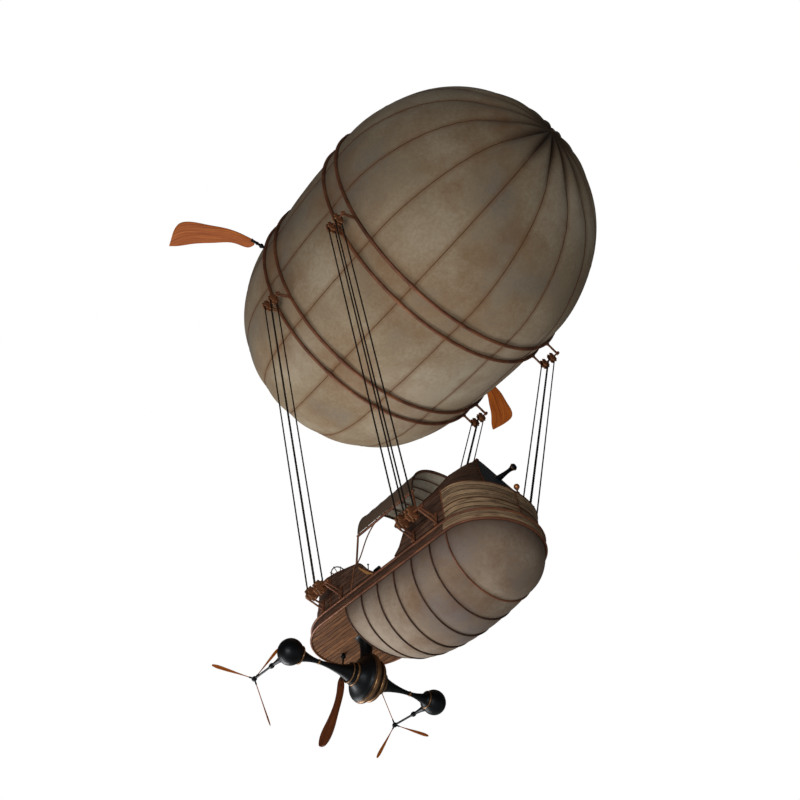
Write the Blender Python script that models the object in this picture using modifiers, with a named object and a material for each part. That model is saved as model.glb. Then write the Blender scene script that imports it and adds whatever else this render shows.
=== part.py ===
"""Airship: a canvas envelope on four hoops that carries a boat hull on sixteen ropes.

Metres. +X is forward, +Y is to port and +Z is up. The origin is the envelope's centre, where the
lifting gas holds the airship up.
"""

import math

import bmesh
import bpy
from mathutils import Matrix, Vector

GAP = 0.0003
BAR = 8
DISC = 12
SEAT = 0.0006
SIDES = (-1, 1)
BORE_SIDES = 24
# Share of a six-sided bar's radius at the middle of its faces
HEX_FLAT = math.cos(math.radians(30))
SIDE_NAME = {-1: "starboard", 1: "port"}
END_NAME = {1: "fore", -1: "aft"}

# Envelope
ENVELOPE_RADIUS = 5.0
ENVELOPE_STEPS = 32
CANVAS = 0.010
# Outer radius of the canvas between the hoops and over each dome, as x and radius
CANVAS_FORE = ((7.07, 0.30), (7.02, 0.84), (6.91, 1.43), (6.61, 2.20), (6.155, 2.945), (5.60, 3.57),
               (4.995, 4.055), (4.34, 4.425), (3.63, 4.715), (2.93, 4.885))
CANVAS_MIDDLE = ((2.21, 4.9447), (1.86, 4.955), (1.505, 4.9447), (0.75, 4.975), (0.0, 4.985),
                 (-0.75, 4.975), (-1.505, 4.9447), (-1.86, 4.955), (-2.21, 4.9447))
CANVAS_AFT = ((-2.95, 4.895), (-3.66, 4.765), (-4.37, 4.525), (-5.03, 4.175), (-5.64, 3.70), (-6.20, 3.09),
              (-6.66, 2.33), (-6.97, 1.50), (-7.09, 0.85), (-7.13, 0.30))
NOSE_X = 7.08
TAIL_X = -7.14
NECK_RADIUS = 0.10
NECK_LENGTH = 0.04
CAP_RADIUS, CAP_DEPTH = 0.13, 0.05
RING_RADIUS = 0.16
HOOP_X = (2.21, 1.505, -1.505, -2.21)
HOOP_NAME = ("hoop_fore_outer", "hoop_fore_inner", "hoop_aft_inner", "hoop_aft_outer")
HOOP_TUBE = 0.055

# Suspension
# Angle under the level of the envelope's middle: the blocks and the rods' feet on the hoops
BLOCK_ANGLE, FOOT_ANGLE = math.radians(34.4), math.radians(35.4)
ROD_RADIUS = 0.035
ROD_END = 0.06
COLLAR_HALF, COLLAR_RADIUS = 0.05, 0.049
UPPER_BLOCK_Y, UPPER_BLOCK_Z = 4.54, -3.1125
LOWER_BLOCK_Y, LOWER_BLOCK_Z = 1.82, -12.86
# The blocks' places fore, and how much further aft the other pair is
UPPER_BLOCK_X, UPPER_AFT_SHIFT = (1.95, 1.60), -3.715
LOWER_BLOCK_X, LOWER_AFT_SHIFT = (1.79, 1.435), -3.775
ARM_X = (2.10, 1.285)
AXLE_RADIUS, AXLE_END = 0.03, 0.05
CHEEK_RADIUS, CHEEK_WIDTH = 0.19, 0.045
SHEAVE_WIDTH = 0.062
ROPE_RADIUS = 0.0225
ROPE_TURN, ROPE_TURN_STEPS = 0.125, 6
# Room between a rope and its sheave, which also takes the lean of the rope fore and aft
ROPE_ROOM = 0.0017
STUB_TOP, STUB_RADIUS = -12.82, 0.03
# The two arms of a lower bracket: height at the stub, and how far they rise to the axle
ARM_Z, ARM_RISE, ARM_RADIUS = (-12.94, -13.08), 0.6, 0.025
LOWER_BOSS = (0.09, 0.12, 0.16)

# Hull
HALF_WIDTH = 1.32
BOW_START, BOW_LENGTH = 2.36, 1.195
STERN_START, STERN_LENGTH = -2.50, 1.53
BOW_TIP = BOW_START + BOW_LENGTH
STERN_TIP = STERN_START - STERN_LENGTH
HULL_BOTTOM = -13.46
RAIL_UPPER = -13.155
DECK_TOP = -13.1725
RAIL_RADIUS = 0.045
ARC_STEPS = 9

# Walls
WALL = 0.06
WALL_ROWS = 4
WALL_BOW_START, WALL_STERN_START = 2.45, -2.35
# How the walls lean: height, half width, bow tip and stern tip
WALL_SECTIONS = (
    (-13.1725, 1.275, 3.500, -3.98),
    (-12.80, 1.320, 3.410, -3.84),
    (-12.30, 1.380, 3.350, -3.66),
)
# Top of the walls along the straight side: x and height
WALL_TOP_AFT = ((-2.35, -12.22), (-1.915, -12.28), (-1.035, -12.488), (-0.91, -12.535),
                (-0.64, -12.85), (-0.315, -13.104))
WALL_TOP_FORE = ((0.46, -13.062), (0.68, -12.913), (0.866, -12.658), (1.146, -12.488), (1.50, -12.31),
                 (2.45, -12.31))

# Belly bag: x of each rib and its depth under the lower rail
BELLY_RIBS = (
    (2.36, 1.17),
    (1.78, 1.35),
    (1.11, 1.45),
    (0.45, 1.44),
    (-0.19, 1.35),
    (-0.83, 1.16),
    (-1.49, 0.83),
)
BELLY_INSET = 0.012
# Stations of the bag round the bow, as angles of a quarter circle
BELLY_BOW_ANGLES = (18, 36, 54, 70, 82)
RIB_RADIUS = 0.028
RIB_LIFT = 1.15
RIB_FOOT = 0.03

# Hood: rear edge and front edge over the wall's top up to the ridge, as x, y and height
HOOD_REAR = ((1.62, 1.27, -12.10), (1.75, 1.08, -11.84), (1.88, 0.66, -11.18), (2.00, 0.36, -10.86),
             (2.17, 0.0, -10.56))
HOOD_FRONT = ((3.00, 0.66, -12.00), (2.78, 0.50, -11.60), (2.52, 0.29, -11.10), (2.35, 0.12, -10.76),
              (2.24, 0.0, -10.56))
HOOD_STEPS = (8, 5)
# Places along the walls where the hood's foot begins and ends
HOOD_FOOT = (1.802, 2.606)
PANEL = 0.03
BARREL_Z, BARREL_RADIUS, BARREL_STEPS = -11.63, 0.085, 14
STEM_HEAD = (3.28, -12.3095)
LAMP_PLACE = (3.321, 0.14)

# Canopy
CANOPY_FORE, CANOPY_AFT = 1.35, -0.92
CANOPY_HALF = 1.44
CANOPY_EAVE, CANOPY_CROWN = -11.66, -10.62
# Power of the arch: 2 is an ellipse, and more is squarer
CANOPY_POWER = 2.6
CANOPY_TUBE = 0.035
CANOPY_HOOPS, CANOPY_END = 7, 0.03
EAVE_END = 0.05
HOOP_BAR, CROWN_BAR = 0.021, 0.0168
# Canopy posts: x of the head at the eave, of the knee just over the wall and of the foot on the deck
POSTS = ((-0.94, -1.20, -1.40), (1.33, 1.33, 1.33))
POST_RADIUS = 0.028
POST_FOOT_Y = 1.13
POST_KNEE = (1.25, -12.40)
SHOE_RADIUS, SHOE_HEIGHT, POST_SUNK = 0.05, 0.04, 0.012
# Curved brace of the aft post: x, share of the way in to the knee, and height
BRACE = ((-0.18, 0.0, -11.70), (-0.45, 0.12, -11.83), (-0.72, 0.36, -12.05), (-0.97, 0.70, -12.28),
         (-1.18, 0.96, -12.385))
BRACE_RADIUS = 0.018

# Engine
ENGINE_X, ENGINE_Z = -2.44, -14.5675
ENGINE_STEPS = 20
BALL_Y, BALL_RADIUS = 2.2225, 0.32
# Cone behind a ball: radius and distance aft
CONE = ((0.0, 0.96), (0.040, 0.96), (0.062, 0.92), (0.062, 0.84), (0.040, 0.80), (0.055, 0.52), (0.10, 0.34),
        (0.16, 0.10), (0.0, 0.10))
# Half of the engine, from an arm's outer end in to the drum: distance from the middle and radius
ARM_PROFILE = ((1.97, 0.215), (1.94, 0.215), (1.93, 0.19), (1.80, 0.115), (1.60, 0.070), (1.41, 0.052),
               (1.20, 0.062), (0.95, 0.095), (0.70, 0.150), (0.52, 0.215))
DRUM_PROFILE = ((0.50, 0.255), (0.46, 0.255), (0.42, 0.33), (0.34, 0.42), (0.28, 0.50), (0.20, 0.50),
                (0.18, 0.46), (0.12, 0.52), (0.04, 0.60), (-0.08, 0.60), (-0.14, 0.54), (-0.20, 0.44),
                (-0.26, 0.36), (-0.32, 0.30), (-0.36, 0.275), (-0.40, 0.275))
BALL_ANGLES = (0, 18, 36, 54, 72, 90, 108, 126, 142)
# Pylon: radius and distance under the floor; its foot stands inside the drum, which is cut from it
PYLON = ((0.0, 0.0), (0.29, 0.0), (0.245, 0.055), (0.20, 0.14), (0.168, 0.27), (0.155, 0.39), (0.16, 0.81),
         (0.0, 0.81))
PROP_X = -4.135
PROP_RADIUS, PROP_ROOT, BLADE_WIDTH, BLADE_THICKNESS = 1.19, 0.06, 0.09, 0.02
# Outline of a blade: share of its length and share of its width
BLADE_SHAPE = ((0.05, 0.10), (0.25, 0.14), (0.45, 0.45), (0.70, 0.85), (0.88, 1.0), (0.97, 0.75), (1.0, 0.35))
BLADE_EDGE = 0.3
BLADES = 3
BLADE_PITCH = 25
# Angle of the first blade, which points away from the hull
BLADE_START = {-1: 180, 1: 0}
HUB = ((0.0, 0.07), (0.045, 0.06), (0.07, 0.0), (0.045, -0.06), (0.0, -0.07))
# A propeller's shaft begins a little aft of the end of its socket in the cone
SHAFT_RADIUS, SHAFT_START, SOCKET_START, SOCKET_REACH = 0.028, 0.845, 0.84, 0.2

# Rudder
RUDDER_X = -3.50
STOCK_RADIUS, STOCK_END = 0.025, -14.15
# Collar of the stock: radius and distance under the floor
STOCK_COLLAR = ((0.0, 0.0), (0.07, 0.0), (0.07, 0.04), (0.055, 0.10), (STOCK_RADIUS, 0.14))
CLAMP_RADIUS, CLAMP_ENDS = 0.055, (-14.03, -14.19)
END_ROOM = 0.005
BOARD = 0.06
RUDDER_OUTLINE = ((-3.46, -14.08), (-3.40, -14.42), (-3.60, -15.00), (-3.78, -15.40), (-3.96, -15.60),
                  (-4.20, -15.68), (-4.42, -15.60), (-4.44, -15.46), (-4.14, -15.08), (-3.72, -14.38),
                  (-3.66, -14.12), (-3.56, -14.05))

# Fins
FIN_X = -2.21
LINK_RADIUS, LINK_END = 0.035, 5.40
LINK_BALL, LINK_BALL_Y = 0.085, 5.15
SLEEVE_RADIUS, SLEEVE_ENDS = 0.066, (5.29, 5.56)
FIN_OUTLINE = ((-2.165, 5.50), (-2.22, 6.08), (-2.375, 6.60), (-2.60, 7.08), (-2.93, 7.71),
               (-3.09, 7.85), (-3.60, 7.885), (-4.10, 7.83), (-4.20, 7.74), (-4.10, 7.60),
               (-3.575, 7.08), (-3.05, 6.46), (-2.67, 5.90), (-2.52, 5.45), (-2.32, 5.37))

# Fittings: radius and x of the barrel, radius and height of the lamp
BARREL = ((0.0, 3.475), (0.075, 3.475), (0.085, 3.44), (0.080, 3.39), (0.050, 3.36), (0.050, 3.10),
          (0.075, 2.90), (0.085, 2.86), (0.085, 2.60), (0.0, 2.60))
LAMP = ((0.0, 0.292), (0.055, 0.272), (0.075, 0.22), (0.055, 0.168), (0.02, 0.15), (0.03, 0.08),
        (0.022, 0.03), (0.022, 0.0), (0.0, 0.0))


def material(name, colour, roughness, metallic=0.0):
    """One Principled material from a linear colour."""
    made = bpy.data.materials.new(name)
    made.use_nodes = True
    shader = made.node_tree.nodes["Principled BSDF"]
    shader.inputs["Base Color"].default_value = (*colour, 1.0)
    shader.inputs["Roughness"].default_value = roughness
    shader.inputs["Metallic"].default_value = metallic
    made.diffuse_color = (*colour, 1.0)
    return made


def empty_scene():
    """Removes the objects of the file and returns the collection for the airship."""
    for old in list(bpy.data.objects):
        bpy.data.objects.remove(old, do_unlink=True)
    parts = bpy.data.collections.new("airship")
    bpy.context.scene.collection.children.link(parts)
    return parts


PARTS = empty_scene()
CANVAS_MATERIAL = material("canvas", (0.33, 0.28, 0.22), 0.85)
COPPER = material("copper", (0.32, 0.13, 0.07), 0.45, 0.8)
WOOD_DARK = material("dark_planks", (0.09, 0.065, 0.05), 0.7)
WOOD_LIGHT = material("deck_planks", (0.20, 0.13, 0.07), 0.65)
WOOD_ORANGE = material("varnished_wood", (0.45, 0.17, 0.05), 0.45)
WOOD_RED = material("stained_wood", (0.22, 0.06, 0.03), 0.5)
STEEL = material("black_steel", (0.02, 0.022, 0.026), 0.3, 0.9)
SLATE = material("slate_panel", (0.05, 0.06, 0.07), 0.5)
ROPE = material("tarred_rope", (0.02, 0.018, 0.015), 0.9)


def node(name, mesh, finish, place=Matrix(), sharp=35.0):
    """A new object in the airship's collection, shaded smooth with its sharp edges kept."""
    mesh.materials.clear()
    mesh.materials.append(finish)
    mesh.shade_smooth()
    mesh.set_sharp_from_angle(angle=math.radians(sharp))
    made = bpy.data.objects.new(name, mesh)
    made.matrix_world = place
    PARTS.objects.link(made)
    return made


def evaluated_mesh(source, weld=1e-5):
    """The object's evaluated mesh in world space, with the caps of a curve welded on."""
    bpy.context.view_layer.update()
    graph = bpy.context.evaluated_depsgraph_get()
    mesh = bpy.data.meshes.new_from_object(source.evaluated_get(graph))
    mesh.transform(source.matrix_world)
    work = bmesh.new()
    work.from_mesh(mesh)
    bmesh.ops.remove_doubles(work, verts=work.verts, dist=weld)
    work.to_mesh(mesh)
    work.free()
    return mesh


def baked(source):
    """Replaces an object by a plain mesh of its evaluated shape, at the world's origin."""
    mesh = evaluated_mesh(source)
    name, finish = source.name, source.material_slots[0].material
    bpy.data.objects.remove(source, do_unlink=True)
    return node(name, mesh, finish)


def combined(base, others, operation):
    """Joins others to base, or cuts them from it, and removes them."""
    for other in others:
        change = base.modifiers.new(operation.lower(), "BOOLEAN")
        change.operation = operation
        change.object = other
    result = baked(base)
    for other in others:
        bpy.data.objects.remove(other, do_unlink=True)
    return result


def tube(name, points, radius, finish, cyclic=False, resolution=1):
    """A round bar along straight runs between points."""
    curve = bpy.data.curves.new(name, "CURVE")
    curve.dimensions = "3D"
    curve.bevel_depth = radius
    curve.bevel_resolution = resolution
    curve.use_fill_caps = not cyclic
    line = curve.splines.new("POLY")
    line.points.add(len(points) - 1)
    for point, place in zip(line.points, points):
        point.co = (*place, 1.0)
    line.use_cyclic_u = cyclic
    curve.materials.append(finish)
    made = bpy.data.objects.new(name, curve)
    PARTS.objects.link(made)
    return baked(made)


def turned(name, profile, finish, place=Matrix(), steps=24, shell=0.0):
    """A profile of (radius, height), listed from the top down, turned about Z."""
    mesh = bpy.data.meshes.new(name)
    corners = [(radius, 0.0, height) for radius, height in profile]
    mesh.from_pydata(corners, [(i, i + 1) for i in range(len(corners) - 1)], [])
    made = node(name, mesh, finish, place)
    screw = made.modifiers.new("turn", "SCREW")
    screw.steps = steps
    screw.render_steps = steps
    screw.use_merge_vertices = True
    screw.merge_threshold = 1e-5
    if shell:
        thick = made.modifiers.new("shell", "SOLIDIFY")
        thick.thickness = shell
        thick.offset = -1.0
    return baked(made)


def cylinder(name, start, end, radius, finish, steps=16):
    """A solid round bar from start to end."""
    start, end = Vector(start), Vector(end)
    work = bmesh.new()
    turn = (end - start).to_track_quat("Z", "Y").to_matrix().to_4x4()
    place = Matrix.Translation((start + end) / 2) @ turn
    bmesh.ops.create_cone(
        work, cap_ends=True, segments=steps, radius1=radius, radius2=radius,
        depth=(end - start).length, matrix=place,
    )
    mesh = bpy.data.meshes.new(name)
    work.to_mesh(mesh)
    work.free()
    return node(name, mesh, finish)


def block(name, centre, size, finish):
    """A box by its centre and size."""
    work = bmesh.new()
    place = Matrix.Translation(centre) @ Matrix.Diagonal((*size, 1.0))
    bmesh.ops.create_cube(work, size=1.0, matrix=place)
    mesh = bpy.data.meshes.new(name)
    work.to_mesh(mesh)
    work.free()
    return node(name, mesh, finish)


def plate(name, outline, bottom, top, finish):
    """A flat slab with the outline of (x, y) points between two heights."""
    curve = bpy.data.curves.new(name, "CURVE")
    curve.dimensions = "2D"
    curve.fill_mode = "BOTH"
    curve.extrude = (top - bottom) / 2
    line = curve.splines.new("POLY")
    line.points.add(len(outline) - 1)
    for point, (x, y) in zip(line.points, outline):
        point.co = (x, y, 0.0, 1.0)
    line.use_cyclic_u = True
    curve.materials.append(finish)
    made = bpy.data.objects.new(name, curve)
    made.location = (0.0, 0.0, (top + bottom) / 2)
    PARTS.objects.link(made)
    return baked(made)


def loft(name, outer, inner, finish):
    """A closed sheet between two grids of points with the same rows and columns."""
    rows, columns = len(outer), len(outer[0])
    work = bmesh.new()
    front = [[work.verts.new(p) for p in row] for row in outer]
    back = [[work.verts.new(p) for p in row] for row in inner]
    for r in range(rows - 1):
        for c in range(columns - 1):
            work.faces.new((front[r][c], front[r][c + 1], front[r + 1][c + 1], front[r + 1][c]))
            work.faces.new((back[r][c], back[r + 1][c], back[r + 1][c + 1], back[r][c + 1]))
    rim = [(0, c) for c in range(columns)]
    rim += [(r, columns - 1) for r in range(1, rows)]
    rim += [(rows - 1, c) for c in range(columns - 2, -1, -1)]
    rim += [(r, 0) for r in range(rows - 2, 0, -1)]
    for (r0, c0), (r1, c1) in zip(rim, rim[1:] + rim[:1]):
        work.faces.new((front[r1][c1], front[r0][c0], back[r0][c0], back[r1][c1]))
    bmesh.ops.remove_doubles(work, verts=work.verts, dist=1e-6)
    bmesh.ops.recalc_face_normals(work, faces=work.faces)
    mesh = bpy.data.meshes.new(name)
    work.to_mesh(mesh)
    work.free()
    return node(name, mesh, finish)


def along_x():
    """Turns +Z to +X, and +X to -Z."""
    return Matrix.Rotation(math.radians(90), 4, "Y")


def along_y():
    """Turns +Z to +Y."""
    return Matrix.Rotation(math.radians(-90), 4, "X")


def bore_radius(shaft):
    """The corner radius of a many-sided bore whose flats clear a turning shaft."""
    return (shaft + GAP) / math.cos(math.pi / BORE_SIDES)


def between(table, x, column=1):
    """A straight-line reading of a table whose first column rises or falls."""
    rows = sorted(table)
    if x <= rows[0][0]:
        return rows[0][column]
    for low, high in zip(rows, rows[1:]):
        if x <= high[0]:
            part = (x - low[0]) / (high[0] - low[0])
            return low[column] + part * (high[column] - low[column])
    return rows[-1][column]


def hoop(name, x, radius):
    """A round bar bent to a ring about X, round the canvas."""
    bpy.ops.mesh.primitive_torus_add(
        major_radius=ENVELOPE_RADIUS, minor_radius=radius,
        major_segments=ENVELOPE_STEPS, minor_segments=6,
    )
    ring = bpy.context.object
    mesh = ring.data.copy()
    bpy.data.objects.remove(ring, do_unlink=True)
    mesh.transform(Matrix.Translation((x, 0, 0)) @ along_x())
    return node(name, mesh, COPPER)


def make_envelope():
    """The canvas bag with a neck at each end, its hoops, the nose cap and the tail ring."""
    ahead = [(NECK_RADIUS, NOSE_X + NECK_LENGTH), (NECK_RADIUS, NOSE_X)]
    astern = [(NECK_RADIUS, TAIL_X), (NECK_RADIUS, TAIL_X - NECK_LENGTH)]
    canvas = [(radius, x) for x, radius in CANVAS_FORE + CANVAS_MIDDLE + CANVAS_AFT]
    turned("envelope", ahead + canvas + astern, CANVAS_MATERIAL, along_x(), ENVELOPE_STEPS, CANVAS)
    for x, name in zip(HOOP_X, HOOP_NAME):
        hoop(name, x, HOOP_TUBE)
    end = NOSE_X + NECK_LENGTH + GAP
    top = end + CAP_DEPTH
    cap = [(0.0, top), (0.6 * CAP_RADIUS, top), (CAP_RADIUS, end + CAP_DEPTH / 2), (CAP_RADIUS, end), (0.0, end)]
    turned("nose_cap", cap, STEEL, along_x(), 16)
    ring = [
        (RING_RADIUS, NECK_LENGTH / 2), (RING_RADIUS, -0.02),
        (NECK_RADIUS + SEAT, -0.02), (NECK_RADIUS + SEAT, NECK_LENGTH / 2), (RING_RADIUS, NECK_LENGTH / 2),
    ]
    place = Matrix.Translation((TAIL_X - NECK_LENGTH, 0, 0)) @ along_x()
    turned("tail_ring", ring, COPPER, place, ENVELOPE_STEPS)


def rope_axes(side):
    """The direction across the two runs of a rope and the direction up along them."""
    up = Vector((0, side * (UPPER_BLOCK_Y - LOWER_BLOCK_Y), UPPER_BLOCK_Z - LOWER_BLOCK_Z)).normalized()
    return Vector((0, up.z, -up.y)), up


def rope_route(upper_x, lower_x, side):
    """The closed loop of one rope round its upper and lower sheave."""
    upper = Vector((upper_x, side * UPPER_BLOCK_Y, UPPER_BLOCK_Z))
    lower = Vector((lower_x, side * LOWER_BLOCK_Y, LOWER_BLOCK_Z))
    across, up = rope_axes(side)
    points = []
    for centre, start in ((upper, 0.0), (lower, math.pi)):
        for i in range(ROPE_TURN_STEPS + 1):
            angle = start + math.pi * i / ROPE_TURN_STEPS
            points.append(centre + ROPE_TURN * (math.cos(angle) * across + math.sin(angle) * up))
    return points


def drum_under_rope(side, centre, half):
    """The sheave's core, a twelve-sided prism whose corners stand under the rope's own."""
    across, up = rope_axes(side)
    reach = ROPE_TURN - ROPE_RADIUS * HEX_FLAT - ROPE_ROOM
    rows = []
    for shift in (-half, half):
        ring = []
        for i in range(12):
            angle = math.radians(30 * i)
            ring.append(centre + reach * (math.cos(angle) * across + math.sin(angle) * up)
                        + Vector((shift, 0, 0)))
        rows.append(ring)
    work = bmesh.new()
    near, far = [[work.verts.new(p) for p in ring] for ring in rows]
    work.faces.new(near)
    work.faces.new(list(reversed(far)))
    for i in range(12):
        j = (i + 1) % 12
        work.faces.new((near[j], near[i], far[i], far[j]))
    bmesh.ops.recalc_face_normals(work, faces=work.faces)
    mesh = bpy.data.meshes.new("drum")
    work.to_mesh(mesh)
    work.free()
    return node("drum", mesh, COPPER)


def blocks_on_axle(side, xs, y, z, ends):
    """Two sheave blocks and the axle along X that carries them, as loose pieces."""
    centre_y = side * y
    half = SHEAVE_WIDTH / 2
    pieces = []
    for x in xs:
        pieces.append(drum_under_rope(side, Vector((x, centre_y, z)), half + 0.01))
        for face in SIDES:
            near = x + face * half
            far = near + face * CHEEK_WIDTH
            pieces.append(cylinder("cheek", (near, centre_y, z), (far, centre_y, z),
                                   CHEEK_RADIUS, COPPER, DISC))
    low, high = ends
    pieces.append(cylinder("axle", (low, centre_y, z), (high, centre_y, z), AXLE_RADIUS, COPPER, BAR))
    return pieces


def under_the_side(side, angle):
    """The direction from the envelope's middle line out to one side and down by an angle."""
    return Vector((0, side * math.cos(angle), -math.sin(angle)))


def upper_bracket(end, side, label):
    """Two rods from the hoops of one end to the axle of two sheave blocks."""
    hoops = [x for x in HOOP_X if x * end > 0]
    xs = [x + (0.0 if end > 0 else UPPER_AFT_SHIFT) for x in UPPER_BLOCK_X]
    out = under_the_side(side, BLOCK_ANGLE)
    pieces = blocks_on_axle(side, xs, UPPER_BLOCK_Y, UPPER_BLOCK_Z, (min(hoops), max(hoops)))
    for x in hoops:
        foot = Vector((x, 0, 0)) + under_the_side(side, FOOT_ANGLE) * ENVELOPE_RADIUS
        tip = Vector((x, side * UPPER_BLOCK_Y, UPPER_BLOCK_Z)) + out * ROD_END
        pieces.append(cylinder("rod", foot, tip, ROD_RADIUS, COPPER, BAR))
    eye = Vector((hoops[0], side * UPPER_BLOCK_Y, UPPER_BLOCK_Z))
    base = cylinder(f"upper_bracket_{label}", eye - out * COLLAR_HALF, eye + out * COLLAR_HALF, COLLAR_RADIUS,
                    COPPER, BAR)
    bracket = combined(base, pieces, "UNION")
    combined(bracket, [hoop("cutter", x, HOOP_TUBE + 0.0004) for x in hoops], "DIFFERENCE")
    return xs


def lower_bracket(end, side, label):
    """Two stubs on the upper rail, with arms out to the axle of two sheave blocks."""
    shift = 0.0 if end > 0 else LOWER_AFT_SHIFT
    xs = [x + shift for x in LOWER_BLOCK_X]
    arms = [x + shift for x in ARM_X]
    rail_y = side * (HALF_WIDTH + RAIL_RADIUS)
    foot = RAIL_UPPER - RAIL_RADIUS * (1 - HEX_FLAT) + GAP
    pieces = blocks_on_axle(side, xs, LOWER_BLOCK_Y, LOWER_BLOCK_Z, (min(arms) - AXLE_END, max(arms) + AXLE_END))
    for x in arms:
        pieces.append(cylinder("stub", (x, rail_y, foot), (x, rail_y, STUB_TOP), STUB_RADIUS, COPPER, BAR))
        for z in ARM_Z:
            tip = (x, side * (LOWER_BLOCK_Y + AXLE_END), LOWER_BLOCK_Z + (z - ARM_Z[0]) * ARM_RISE)
            pieces.append(cylinder("arm", (x, rail_y, z), tip, ARM_RADIUS, COPPER, BAR))
    base = block(f"lower_bracket_{label}", (arms[0], side * LOWER_BLOCK_Y, LOWER_BLOCK_Z), LOWER_BOSS, COPPER)
    combined(base, pieces, "UNION")
    return xs


def make_suspension():
    """The brackets and the two ropes of each corner."""
    for end in (1, -1):
        for side in SIDES:
            label = f"{END_NAME[end]}_{SIDE_NAME[side]}"
            uppers, lowers = upper_bracket(end, side, label), lower_bracket(end, side, label)
            for upper_x, lower_x, which in zip(uppers, lowers, ("a", "b")):
                tube(f"rope_{which}_{label}", rope_route(upper_x, lower_x, side), ROPE_RADIUS, ROPE, True)


def hull_outline(half_width, bow_tip, stern_tip, steps=ARC_STEPS):
    """Points round the hull's plan from the stern's middle to starboard, the bow and back."""
    side = []
    for i in range(steps + 1):
        angle = math.radians(90) * i / steps
        side.append((STERN_START - (STERN_START - stern_tip) * math.cos(angle),
                     -half_width * math.sin(angle)))
    for i in range(steps + 1):
        angle = math.radians(90) * i / steps
        side.append((BOW_START + (bow_tip - BOW_START) * math.sin(angle),
                     -half_width * math.cos(angle)))
    return side + [(x, -y) for x, y in reversed(side[1:-1])]


def rail(name, height):
    """A round rail that runs all the way round the hull's side."""
    reach = RAIL_RADIUS + SEAT
    outline = hull_outline(HALF_WIDTH + reach, BOW_TIP + reach, STERN_TIP - reach)
    return tube(name, [(x, y, height) for x, y in outline], RAIL_RADIUS, COPPER, True)


def belly_half_width(x):
    """The bag's half width, which follows the hull's side and closes round the bow."""
    if x <= BOW_START:
        return HALF_WIDTH - BELLY_INSET
    part = (x - BOW_START) / (BOW_LENGTH - BELLY_INSET)
    return (HALF_WIDTH - BELLY_INSET) * math.sqrt(max(0.0, 1.0 - part * part))


def belly_depth(x):
    """How far the bag hangs under the hull."""
    if x <= BELLY_RIBS[0][0]:
        return between(BELLY_RIBS, x)
    part = (x - BELLY_RIBS[0][0]) / (BOW_TIP - BELLY_INSET - BELLY_RIBS[0][0])
    return BELLY_RIBS[0][1] * math.sqrt(max(0.0, 1.0 - part * part))


def belly_section(x, extra=0.0, steps=12):
    """The bag's half-ellipse section at x, from starboard round under to port."""
    wide, deep = belly_half_width(x), belly_depth(x)
    points = []
    for i in range(steps + 1):
        angle = math.pi * i / steps
        out = Vector((-math.cos(angle) / wide, -math.sin(angle) / max(deep, 1e-3))).normalized() * extra
        points.append((x, -wide * math.cos(angle) + out.x,
                       HULL_BOTTOM - GAP - deep * math.sin(angle) + out.y))
    return points


def make_hull():
    """The floor, the rails, the belly bag with its ribs, and the walls."""
    outline = hull_outline(HALF_WIDTH, BOW_TIP, STERN_TIP)
    plate("deck", outline, HULL_BOTTOM, DECK_TOP, WOOD_LIGHT)
    rail("rail_upper", RAIL_UPPER - RAIL_RADIUS)
    rail("rail_lower", HULL_BOTTOM)
    for number, (x, _) in enumerate(BELLY_RIBS, 1):
        points = belly_section(x, RIB_RADIUS * RIB_LIFT)
        low = HULL_BOTTOM - RAIL_RADIUS * HEX_FLAT - GAP
        ends = [(x, py, low) for _, py, _ in (points[0], points[-1])]
        feet = [(x, py, low - RIB_FOOT) for _, py, _ in (points[0], points[-1])]
        route = [ends[0], feet[0]] + points[1:-1] + [feet[1], ends[1]]
        tube(f"belly_rib_{number}", route, RIB_RADIUS, COPPER)
    stations = [x for x, _ in reversed(BELLY_RIBS)]
    tip = BOW_TIP - BELLY_INSET
    stations += [BELLY_RIBS[0][0] + (tip - BELLY_RIBS[0][0]) * math.sin(math.radians(a))
                 for a in BELLY_BOW_ANGLES]
    belly(stations)
    make_walls()


def belly(stations):
    """The solid bag: its sections, a flat top under the deck and flat ends."""
    work = bmesh.new()
    rows = [[work.verts.new(p) for p in belly_section(x)] for x in stations]
    for near, far in zip(rows, rows[1:]):
        for c in range(len(near) - 1):
            work.faces.new((near[c], near[c + 1], far[c + 1], far[c]))
        work.faces.new((near[0], far[0], far[-1], near[-1]))
    work.faces.new(rows[0])
    work.faces.new(list(reversed(rows[-1])))
    bmesh.ops.recalc_face_normals(work, faces=work.faces)
    mesh = bpy.data.meshes.new("belly")
    work.to_mesh(mesh)
    work.free()
    return node("belly", mesh, CANVAS_MATERIAL)


def wall_point(along, height, inset=0.0):
    """A point on the walls at a place along the half outline, from 0 at the stern to 1 at the bow.

    The half outline is cut in three: the stern's arc, the straight side and the bow's arc.
    """
    half = between(WALL_SECTIONS, height, 1) - inset
    bow = between(WALL_SECTIONS, height, 2) - inset
    stern = between(WALL_SECTIONS, height, 3) + inset
    if along < 1:
        angle = math.radians(90) * along
        return (WALL_STERN_START - (WALL_STERN_START - stern) * math.cos(angle), -half * math.sin(angle))
    if along < 2:
        return (WALL_STERN_START + (along - 1) * (WALL_BOW_START - WALL_STERN_START), -half)
    angle = math.radians(90) * (along - 2)
    return (WALL_BOW_START + (bow - WALL_BOW_START) * math.sin(angle), -half * math.cos(angle))


def wall_height(top, row):
    """Height of one of the rows of points between the deck and a wall's top."""
    foot = DECK_TOP + GAP
    return foot + (top - foot) * row / (WALL_ROWS - 1)


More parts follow.
